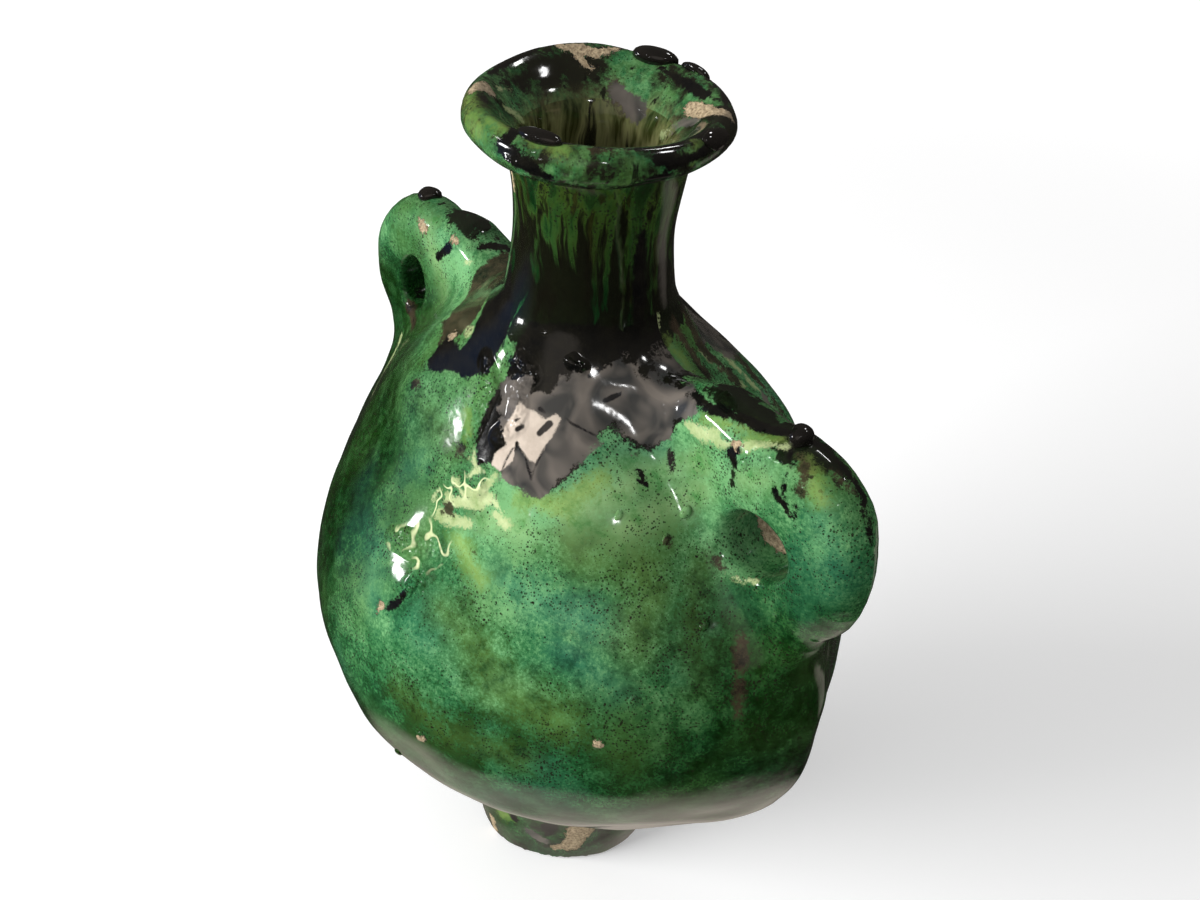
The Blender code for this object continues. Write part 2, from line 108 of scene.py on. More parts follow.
# the hollow under the foot: height and radius
UNDER_FOOT = ((-5, 29), (10, 29.5), (26, 29), (35, 25), (39, 18), (40.5, 8))
VOXEL = 4.0                     # the size of the faces that the smooth form starts from
FAR = 300.0                     # for cuts, past the sides of the belly and over the lugs
LIP_BOX = 60.0                  # for cuts, past the sides of the lip
ON_SKIN = 0.35                  # a point this near the form is on the glazed skin
AGREES = 0.55                   # and its face is shaded by the form where their ways agree this well
LONGEST_MOVE = 4.0              # of a point in one round, when it is laid on the form

# The potter's levels: height, half length along X, half depth along Y, and how round the plan is.
# 2 is an ellipse, and less pinches it to the pointed ends of two dishes joined edge to edge.
FOOT_LEVELS = [(0.0, 0.85, 2.0), (0.18, 0.87, 2.0), (0.68, 0.92, 2.0), (1.0, 1.0, 2.0)]
BELLY_LEVELS = [
    (0.065, 0.16, 0.13, 1.85), (0.14, 0.44, 0.40, 1.6), (0.23, 0.70, 0.67, 1.45),
    (0.335, 0.88, 0.89, 1.4), (0.455, 0.99, 1.0, 1.36), (0.57, 1.0, 0.90, 1.38),
    (0.67, 0.91, 0.72, 1.42), (0.765, 0.69, 0.50, 1.55), (0.855, 0.42, 0.36, 1.8),
    (0.935, 0.18, 0.18, 1.92),
]
NECK_LEVELS = [
    (0.0, 1.0, 1.0), (0.21, 0.745, 0.745), (0.48, 0.69, 0.69), (0.77, 0.75, 0.75),
    (0.92, 0.83, 0.83), (1.0, 0.89, 0.89),
]


def level_rows():
    rows = [(FOOT_TOP * up, FOOT_TOP_RADIUS * out, FOOT_TOP_RADIUS * out, q) for up, out, q in FOOT_LEVELS]
    for up, long, deep, q in BELLY_LEVELS:
        joint = FOOT_TOP_RADIUS if up < 0.5 else NECK_ROOT_RADIUS
        rows.append((
            FOOT_TOP + (BELLY_TOP - FOOT_TOP) * up,
            joint + (BELLY_HALF_LENGTH - joint) * long,
            joint + (BELLY_HALF_DEPTH - joint) * deep,
            q,
        ))
    for up, long, deep in NECK_LEVELS:
        rows.append((
            BELLY_TOP + (ROLL_HEIGHT - BELLY_TOP) * up, NECK_ROOT_RADIUS * long, NECK_ROOT_RADIUS * deep, 2.0
        ))
    return np.array(rows)


def smooth_curve(places, values):
    """A curve through the values that never swells past them."""
    step = np.diff(places)
    slope = np.diff(values) / step
    tangent = np.zeros_like(values)
    for i in range(1, len(places) - 1):
        if slope[i - 1] * slope[i] > 0:
            near, far = 2 * step[i] + step[i - 1], step[i] + 2 * step[i - 1]
            tangent[i] = (near + far) / (near / slope[i - 1] + far / slope[i])
    tangent[0], tangent[-1] = slope[0], slope[-1]

    def at(where):
        where = np.clip(where, places[0], places[-1])
        i = np.clip(np.searchsorted(places, where) - 1, 0, len(step) - 1)
        t = (where - places[i]) / step[i]
        return (
            values[i] * (1 + 2 * t) * (1 - t) ** 2 + tangent[i] * step[i] * t * (1 - t) ** 2
            + values[i + 1] * t * t * (3 - 2 * t) + tangent[i + 1] * step[i] * t * t * (t - 1)
        )
    return at


LEVELS = level_rows()
half_length_at, half_depth_at, roundness_at = (smooth_curve(LEVELS[:, 0], LEVELS[:, i]) for i in (1, 2, 3))

# The mouth's inside: height below the lip's top, and radius
THROAT = np.array([
    (-30.0, 46.0), (-4.0, 40.0), (0.0, 36.5), (2.0, 33.5), (5.0, 29.5), (8.5, 25.5), (13.0, 22.0),
    (20.0, 19.8), (32.0, NECK_BORE), (120.0, NECK_BORE),
])
throat_at = smooth_curve(THROAT[:, 0], THROAT[:, 1])
THROAT_DEPTH = 108.0


# Where the potter's hands and the fire left it fuller or flatter: a point on the wall, how far
# round it the change fades out, and how far the wall moved there
PUSHES = [
    (-114, 0, 260, 34, 7.5, 0.0, -2.0),        # the left lug leans in
    (-98, -38, 192, 28, 3.5, 3.5, -1.0),       # under it the shoulder is thumbed flat
    (-32, -98, 140, 24, 0.5, 1.5, 0.5),
    (-6, -94, 120, 24, 0.0, -2.0, -1.0),
    (10, -82, 86, 22, 0.0, 3.0, 2.0),
    (14, 38, 262, 15, -1.0, -3.0, -2.0),       # the back of the neck's root is pinched in
    (56, 46, 237, 32, 1.8, 4.5, 3.3),          # and the back shoulder is full
    (118, 4, 260, 22, 1.0, 0.5, 3.0),          # the right lug is heavier at its top and outside
    (132, 0, 236, 22, 1.0, 0.0, 0.0),
    (108, 38, 155, 32, -4.0, -2.4, 0.0),
    (122, 0, 120, 26, -0.5, 0.0, 0.0),
    (92, -18, 88, 24, -0.3, 0.3, 1.2),
    (-36, 14, 342, 18, -1.4, 0.6, 0.5),        # the lip is out of round and out of level
    (-22, 32, 344, 18, 0.0, 0.0, -1.6),
    (24, 30, 344, 14, 0.0, 0.0, -1.2),
]


def hand_waves():
    """Slow waves that stand for the marks of hands: direction and length, phase, height."""
    draw = np.random.default_rng(7)
    waves = []
    for length, height, count in ((70.0, 0.50, 6), (38.0, 0.10, 8), (19.0, 0.04, 10)):
        for _ in range(count):
            direction = draw.normal(size=3)
            direction /= np.linalg.norm(direction)
            direction = direction * math.tau / (length * draw.uniform(0.8, 1.25))
            waves.append((direction, draw.uniform(0, math.tau), height))
    return waves


WAVES = hand_waves()


def hand_marks(points):
    total = np.zeros(len(points))
    for direction, phase, height in WAVES:
        total += height * np.sin(points @ direction + phase)
    return total


def pushed(points, way):
    """Gives points of the even form the pushes, or takes them back where the way is -1."""
    moved = points.copy()
    for x, y, z, reach, *push in PUSHES:
        away = ((points - (x, y, z)) ** 2).sum(1)
        moved += way * np.exp(-away / reach ** 2)[:, None] * np.array(push)
    return moved


def smooth_min(a, b, blend):
    share = np.clip(0.5 + 0.5 * (b - a) / blend, 0, 1)
    return b * (1 - share) + a * share - blend * share * (1 - share)


def smooth_max(a, b, blend):
    return -smooth_min(-a, -b, blend)


def wall_distance(points):
    """Distance outside the wall of the foot, belly and neck, roughly, and negative inside."""
    x, y, z = np.abs(points[:, 0]), np.abs(points[:, 1]), points[:, 2]
    out = np.hypot(x, y) + 1e-6

    def radius(height):
        height = np.clip(height, LEVELS[0, 0], LEVELS[-1, 0])
        along = (x / half_length_at(height)) ** 2
        across = y / half_depth_at(height) + 1e-9
        q = roundness_at(height)
        share = np.sqrt(along + across * across) + 1e-6
        for _ in range(5):
            curve = (across / share) ** q
            miss = along / share ** 2 + curve - 1
            slope = -2 * along / share ** 3 - q * curve / share
            share = np.clip(share - miss / slope, 0.2 * share, 5 * share)
        return out / share

    steep = radius(z + 0.5) - radius(z - 0.5)
    distance = (out - radius(z)) / np.sqrt(1 + np.clip(steep, -6, 6) ** 2)
    return np.maximum(distance, np.maximum(LEVELS[0, 0] - z, z - LEVELS[-1, 0]))


def ear_outline():
    """The lug seen from the front: round the ear, then back along the ridge to the neck."""
    ear = []
    for turn in np.linspace(-0.13, 0.30, 18):
        angle = math.tau * turn
        ear.append((HOLE_OUT + EAR_RADIUS * math.cos(angle), HOLE_HEIGHT + EAR_RADIUS * math.sin(angle)))
    ridge = [(66, 273), (48, 269), (34, 262), (35, 236), (60, 205), (92, 189), (112, 194), (120, 205)]
    return np.array(ear + ridge, float)


EAR = ear_outline()


def outline_distance(x, z, outline):
    nearest = np.full(x.shape, 1e9)
    inside = np.zeros(x.shape, bool)
    for (ax, az), (bx, bz) in zip(outline, np.roll(outline, -1, axis=0)):
        ex, ez = bx - ax, bz - az
        share = np.clip(((x - ax) * ex + (z - az) * ez) / (ex * ex + ez * ez), 0, 1)
        nearest = np.minimum(nearest, (x - ax - ex * share) ** 2 + (z - az - ez * share) ** 2)
        if ez:
            crosses = ((az <= z) & (bz > z)) | ((bz <= z) & (az > z))
            inside ^= crosses & (x < ax + (z - az) * ex / ez)
    return np.where(inside, -1, 1) * np.sqrt(nearest)


def lug_distance(points, side):
    return smooth_max(
        outline_distance(points[:, 0] * side, points[:, 2], EAR),
        np.abs(points[:, 1]) - LUG_HALF_THICKNESS, LUG_BLEND,
    )


def vase_distance(points):
    """Distance outside the whole vase, the throat being outside too."""
    at = pushed(points, -1)
    distance = wall_distance(at)
    for side in (1, -1):
        near = (at[:, 0] * side > LUG_START) & (at[:, 2] > LUG_FLOOR)
        lug = at[near]
        inward, down, stretch = HOLES[side]
        hole = np.hypot(
            (lug[:, 0] * side - HOLE_OUT + inward) / stretch, lug[:, 2] - HOLE_HEIGHT + down
        ) - HOLE_HALF_HEIGHT
        distance[near] = smooth_max(
            smooth_min(distance[near], lug_distance(lug, side), LUG_BLEND), -hole, HOLE_EDGE_BLEND
        )
    top = at[:, 2] > BELLY_TOP - 60
    upper = at[top]
    out = np.hypot(upper[:, 0], upper[:, 1])
    roll = np.hypot(out - ROLL_CENTRE, upper[:, 2] - ROLL_HEIGHT) - ROLL_RADIUS
    below = LIP_TOP - upper[:, 2]
    throat = np.maximum(out - throat_at(below), below - THROAT_DEPTH)
    distance[top] = smooth_max(smooth_min(distance[top], roll, EDGE_BLEND), -throat, THROAT_BLEND)
    return smooth_max(distance - hand_marks(points), -points[:, 2], FOOT_BLEND)


def envelope_distance(points):
    """Distance outside the belly, foot and neck alone, with their share of the smeared clay."""
    at = pushed(points, -1)
    return wall_distance(at) - JOINT_LIFT - hand_marks(points)


def gradient(distance, points, step=0.2):
    return np.stack([
        (distance(points + step * axis) - distance(points - step * axis)) / (2 * step) for axis in np.eye(3)
    ], 1)


# Making meshes

def new_object(name, data):
    piece = bpy.data.objects.new(name, data)
    bpy.context.scene.collection.objects.link(piece)
    return piece


def from_form(name, form):
    """Keeps a finished form as an object."""
    mesh = bpy.data.meshes.new(name)
    form.to_mesh(mesh)
    form.free()
    return new_object(name, mesh)


def ring_points(half_length, half_depth, roundness, height, count):
    turn = np.linspace(0, math.tau, count, endpoint=False)
    c, s = np.cos(turn), np.sin(turn)
    return np.stack([
        half_length * c, half_depth * np.sign(s) * np.abs(s) ** (2 / roundness), np.full(count, height)
    ], 1)


def loft(name, rings):
    """A closed skin over rings of points, in millimetres, listed upward and capped at both ends."""
    form = bmesh.new()
    rows = [[form.verts.new(point / MM) for point in ring] for ring in rings]
    for lower, upper in zip(rows, rows[1:]):
        for i in range(len(lower)):
            j = (i + 1) % len(lower)
            form.faces.new((lower[i], lower[j], upper[j], upper[i]))
    form.faces.new(rows[0][::-1])
    form.faces.new(rows[-1])
    bmesh.ops.recalc_face_normals(form, faces=form.faces)
    return from_form(name, form)


def wall_rings(low, high, step, count, inset=0.0):
    heights = np.linspace(low, high, max(2, int(round((high - low) / step)) + 1))
    return [
        ring_points(half_length_at(z) - inset, half_depth_at(z) - inset, roundness_at(z), z, count)
        for z in heights
    ]


def rough_lug(side):
    """The lug as a plain slab with its hole, to start the smooth form from."""
    form = bmesh.new()
    inward, down, stretch = HOLES[side]
    hole = [
        (
            HOLE_OUT - inward + HOLE_HALF_HEIGHT * stretch * math.cos(angle),
            HOLE_HEIGHT - down + HOLE_HALF_HEIGHT * math.sin(angle),
        )
        for angle in np.linspace(0, math.tau, 24, endpoint=False)
    ]
    edges = []
    for line in (EAR, hole):
        verts = [form.verts.new((side * x / MM, -LUG_HALF_THICKNESS / MM, z / MM)) for x, z in line]
        edges += [form.edges.new((verts[i - 1], verts[i])) for i in range(len(verts))]
    bmesh.ops.triangle_fill(form, edges=edges, use_beauty=True)
    faces = bmesh.ops.extrude_face_region(form, geom=form.faces[:])["geom"]
    for vert in faces:
        if isinstance(vert, bmesh.types.BMVert):
            vert.co.y += 2 * LUG_HALF_THICKNESS / MM
    bmesh.ops.recalc_face_normals(form, faces=form.faces)
    lug = from_form("rough_lug", form)
    write_points(lug.data, pushed(read_points(lug.data), 1))
    return lug


def read_points(mesh):
    points = np.zeros(len(mesh.vertices) * 3, np.float32)
    mesh.vertices.foreach_get("co", points)
    return points.reshape(-1, 3).astype(float) * MM


def write_points(mesh, points):
    mesh.vertices.foreach_set("co", (points / MM).astype(np.float32).ravel())
    mesh.update()


def pull_to(distance, points, rounds):
    """Moves points along the slope of a distance until it is nothing."""
    points = points.copy()
    for _ in range(rounds):
        off = distance(points)
        slope = gradient(distance, points)
        step = -(off / np.maximum((slope * slope).sum(1), 0.05))[:, None] * slope
        length = np.linalg.norm(step, axis=1) + 1e-9
        points += step * np.minimum(1, LONGEST_MOVE / length)[:, None]
    return points


def settle(piece, distance, rounds):
    """Lays a mesh on the form and evens out its faces."""
    mesh = piece.data
    points = read_points(mesh)
    edges = np.zeros(len(mesh.edges) * 2, np.int32)
    mesh.edges.foreach_get("vertices", edges)
    a, b = edges.reshape(-1, 2).T
    count = np.bincount(np.concatenate([a, b]), minlength=len(points))[:, None]
    for _ in range(rounds):
        points = pull_to(distance, points, 2)
        total = np.stack([
            np.bincount(np.concatenate([a, b]), np.concatenate([points[b, i], points[a, i]]), len(points))
            for i in range(3)
        ], 1)
        points += 0.5 * (total / count - points)
    write_points(mesh, pull_to(distance, points, 3))


def select_only(piece):
    bpy.ops.object.select_all(action="DESELECT")
    piece.select_set(True)
    bpy.context.view_layer.objects.active = piece


def joined(pieces, name):
    select_only(pieces[0])
    for piece in pieces:
        piece.select_set(True)
    bpy.ops.object.join()
    pieces[0].name = name
    return pieces[0]


def apply_modifiers(piece):
    """Turns what the modifiers make into the piece's own mesh."""
    bpy.context.view_layer.update()
    shown = piece.evaluated_get(bpy.context.evaluated_depsgraph_get())
    mesh = bpy.data.meshes.new_from_object(shown)
    piece.modifiers.clear()
    piece.data = mesh


def cut_copy(piece, name, *cuts):
    """A copy of a piece after cuts, each an operation and the closed form that it uses."""
    copy = new_object(name, piece.data.copy())
    for operation, tool in cuts:
        cut = copy.modifiers.new(operation.lower(), "BOOLEAN")
        cut.operation, cut.solver, cut.object = operation, "MANIFOLD", tool
    apply_modifiers(copy)
    return copy


def block(low, high):
    """A closed box between two corners in millimetres, used for cuts only."""
    form = bmesh.new()
    bmesh.ops.create_cube(form, size=1)
    low, high = np.array(low), np.array(high)
    for vert in form.verts:
        vert.co = Vector(((low + high) / 2 + np.array(vert.co) * (high - low)) / MM)
    return from_form("cut_block", form)


def whole_vase():
    """The outside of the vase, its lugs and its throat, as one closed skin; the cavity and the hollow under
    the foot are cut from it in clay_pieces.
    """
    rings = wall_rings(0, ROLL_HEIGHT - ROLL_RADIUS, 5, 72)
    for angle in np.linspace(-0.2, 0.5, 7):
        r = ROLL_CENTRE + ROLL_RADIUS * math.cos(math.tau * angle)
        rings.append(ring_points(r, r, 2, ROLL_HEIGHT + ROLL_RADIUS * math.sin(math.tau * angle), 72))
    for below in (10, 20, 35, 60, 85, THROAT_DEPTH):
        rings.append(ring_points(throat_at(below), throat_at(below), 2, LIP_TOP - below, 72))
    vase = joined([loft("rough_wall", rings), rough_lug(1), rough_lug(-1)], "vase")
    vase.data.remesh_voxel_size = VOXEL / MM
    select_only(vase)
    bpy.ops.object.voxel_remesh()
    settle(vase, vase_distance, 3)
    finer = vase.modifiers.new("finer", "SUBSURF")
    finer.levels = finer.render_levels = 1
    apply_modifiers(vase)
    settle(vase, vase_distance, 1)
    return vase


def refine(piece, low, high, cuts):
    """Divides the faces between two corners, so that the fine marks there stay crisp."""
    form = bmesh.new()
    form.from_mesh(piece.data)
    inside = {
        vert for vert in form.verts
        if all(a <= c * MM <= b for a, c, b in zip(low, vert.co, high))
    }
    edges = [edge for edge in form.edges if inside.issuperset(edge.verts)]
    bmesh.ops.subdivide_edges(form, edges=edges, cuts=cuts, use_grid_fill=True)
    form.to_mesh(piece.data)
    form.free()


def skin_normals(piece):
    """Shades the glazed skin by the form itself, so that no joint or face shows in a highlight."""
    mesh = piece.data
    mesh.shade_smooth()
    points = read_points(mesh)
    slope = gradient(vase_distance, points)
    length = np.maximum(np.linalg.norm(slope, axis=1, keepdims=True), 1e-6)
    slope /= length
    on_skin = np.abs(vase_distance(points)) < ON_SKIN
    count = len(mesh.polygons)
    faces = np.zeros(count * 3, np.float32)
    mesh.polygons.foreach_get("normal", faces)
    faces = faces.reshape(-1, 3)
    corners = np.zeros(len(mesh.loops), np.int32)
    mesh.loops.foreach_get("vertex_index", corners)
    totals = np.zeros(count, np.int32)
    mesh.polygons.foreach_get("loop_total", totals)
    owner = np.repeat(np.arange(count), totals)
    agrees = (slope[corners] * faces[owner]).sum(1)
    least = np.ones(count)
    np.minimum.at(least, owner, np.where(on_skin[corners], agrees, -1.0))
    is_skin = least > AGREES
    normals = np.where(is_skin[owner][:, None], slope[corners], 0.0)
    mesh.normals_split_custom_set(normals.tolist())


def clay_pieces():
    """The vase taken apart where its clay members join: foot, two dishes, neck, lip and two lugs."""
    vase = whole_vase()
    envelope = loft("joint_envelope", wall_rings(-6, ROLL_HEIGHT + 3, 4, 144, -JOINT_LIFT))
    write_points(envelope.data, pull_to(envelope_distance, read_points(envelope.data), 3))
    above_lip = block((-LIP_BOX, -LIP_BOX, BELLY_TOP + 6), (LIP_BOX, LIP_BOX, LIP_TOP + 20))
    cavity = loft("cavity", wall_rings(FLOOR_HEIGHT, BELLY_TOP - 2, 8, 72, WALL))
    under = loft("under_foot", [ring_points(r, r, 2, z, 48) for z, r in UNDER_FOOT])
    body = cut_copy(vase, "body", ("DIFFERENCE", cavity), ("DIFFERENCE", under))
    skin, ear = [("INTERSECT", envelope)], [("DIFFERENCE", envelope), ("DIFFERENCE", above_lip)]
    # each member: its cuts, and then the two corners of the block that it fills
    members = {
        "lug_right": (ear, (LUG_START, -FAR, 0), (FAR, FAR, FAR)),
        "lug_left": (ear, (-FAR, -FAR, 0), (-LUG_START, FAR, FAR)),
        "foot_ring": ([], (-FAR, -FAR, -9), (FAR, FAR, FOOT_TOP)),
        "body_half_front": (skin, (-FAR, -FAR, FOOT_TOP), (FAR, 0, BELLY_TOP)),
        "body_half_back": (skin, (-FAR, 0, FOOT_TOP), (FAR, FAR, BELLY_TOP)),
        "neck_tube": (skin, (-LIP_BOX, -LIP_BOX, BELLY_TOP), (LIP_BOX, LIP_BOX, LIP_SEAT)),
        "lip_roll": ([], (-LIP_BOX, -LIP_BOX, LIP_SEAT), (LIP_BOX, LIP_BOX, LIP_TOP + LIP_BOX)),
    }
    pieces = {
        name: cut_copy(body, name, *cuts, ("INTERSECT", block(low, high)))
        for name, (cuts, low, high) in members.items()
    }
    blocks = [piece for piece in bpy.data.objects if piece.name.startswith("cut_block")]
    for spare in [vase, envelope, cavity, under, body] + blocks:
        bpy.data.objects.remove(spare)
    return pieces


def sit(piece, node):
    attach(piece, "root")
    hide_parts(node)


# where the marks are fine: the node, two corners in millimetres and how many cuts across each face
FINE_MARKS = [
    ("body_half_front", (-4, -70, 222), (66, -4, 276), 2),
    ("body_half_front", (-14, -90, 190), (26, -52, 222), 1),
    ("neck_tube", (-34, -42, 258), (44, 4, 300), 2), ("lug_right", (50, -16, 212), (130, 14, 280), 1),
    ("lip_roll", (-60, -60, 320), (60, 60, 360), 1), ("foot_ring", (-60, -60, -1), (60, 60, 60), 1),
]
CLAY = clay_pieces()
for node_name, low, high, cuts in FINE_MARKS:
    refine(CLAY[node_name], low, high, cuts)
for node_name, piece in CLAY.items():
    skin_normals(piece)
    sit(piece, node_name)


# Where each glaze, painted reflection and painted glint lies, in millimetres on the vase. An outline is a
# patch on the front seen straight on, as x and height. A stroke is a line of dabs, each a place and a radius.

OUTLINES = {
    "black_pool": [
        [(5, 271), (7, 265), (7, 259), (6, 254), (6, 248), (7, 243), (9, 239), (13, 235), (17, 238),
         (22, 238), (26, 236), (31, 237), (38, 236), (41, 239), (43, 245), (41, 250), (41, 254), (44, 253),
         (46, 251), (49, 249), (53, 248), (54, 250), (57, 257), (60, 264), (62, 267), (50, 268), (41, 269),
         (34, 272), (31, 276), (30, 280), (25, 282), (16, 281), (6, 278)],
        [(-10, 291), (-4, 281), (0, 273), (1, 267), (0, 260), (-6, 255), (-17, 251), (-27, 247), (-31, 247),
         (-30, 254), (-29, 257), (-18, 258), (-16, 263), (-19, 267), (-22, 269), (-28, 272), (-20, 283)],
    ],
    "burnt_glaze": [
        [(-48, 268), (-10, 292), (-15, 283), (-24, 272), (-20, 264), (-26, 257), (-31, 253), (-39, 254),
         (-41, 256), (-44, 258), (-47, 260), (-48, 264), (-49, 267)],
    ],
    # the beige in the black pool is a painted reflection of the lit wall
    "beige_film_and_painted_reflection": [
        [(16, 257), (19, 256), (23, 256), (26, 255), (28, 257), (30, 256), (31, 251), (31, 248), (31, 244),
         (29, 244), (24, 246), (22, 247), (24, 242), (22, 238), (18, 238), (17, 241), (19, 245), (16, 247),
         (16, 250), (16, 254)],
    ],
    # over the black pool this grey is a painted reflection of the room
    "grey_film_and_painted_reflection": [
        [(6, 262), (10, 262), (16, 264), (18, 261), (23, 262), (24, 266), (28, 268), (32, 271), (35, 270),
         (43, 267), (56, 267), (62, 266), (57, 259), (55, 251), (52, 249), (49, 250), (44, 254), (41, 254),
         (41, 252), (42, 248), (42, 244), (39, 236), (31, 236), (23, 236), (23, 242), (22, 248), (15, 248),
         (15, 251), (9, 255)],
    ],
}
BACK_OUTLINES = {                       # the same for the back of the vase
    "black_pool": [
        [(-34, 258), (-27, 264), (-21, 276), (-12, 284), (8, 285), (16, 278), (19, 268), (20, 260),
         (25, 250), (29, 245), (33, 240), (30, 228), (26, 222), (22, 226), (20, 238), (14, 244), (9, 238),
         (7, 224), (6, 208), (3, 200), (0, 206), (-1, 222), (-5, 236), (-11, 240), (-15, 234), (-18, 238),
         (-20, 246), (-27, 247)],
    ],
    "burnt_glaze": [
        [(-70, 262), (-58, 262), (-46, 256), (-34, 246), (-30, 234), (-36, 228), (-43, 236), (-48, 226),
         (-55, 230), (-58, 242), (-66, 246), (-72, 254)],
        [(66, 226), (74, 222), (78, 210), (74, 200), (68, 206), (62, 216)],
    ],
    "grey_film_and_painted_reflection": [[(8, 262), (18, 268), (30, 262), (36, 254), (30, 248), (22, 252), (14, 248), (8, 254)]],
    "cream_bloom": [
        [(-4, 234), (2, 226), (12, 230), (18, 222), (24, 214), (16, 208), (8, 214), (-2, 210), (-8, 222)],
    ],
    "lime_run": [
        [(30, 224), (42, 228), (50, 218), (46, 204), (38, 196), (30, 206)],
        [(-26, 232), (-16, 228), (-14, 212), (-22, 202), (-30, 214)],
    ],
}
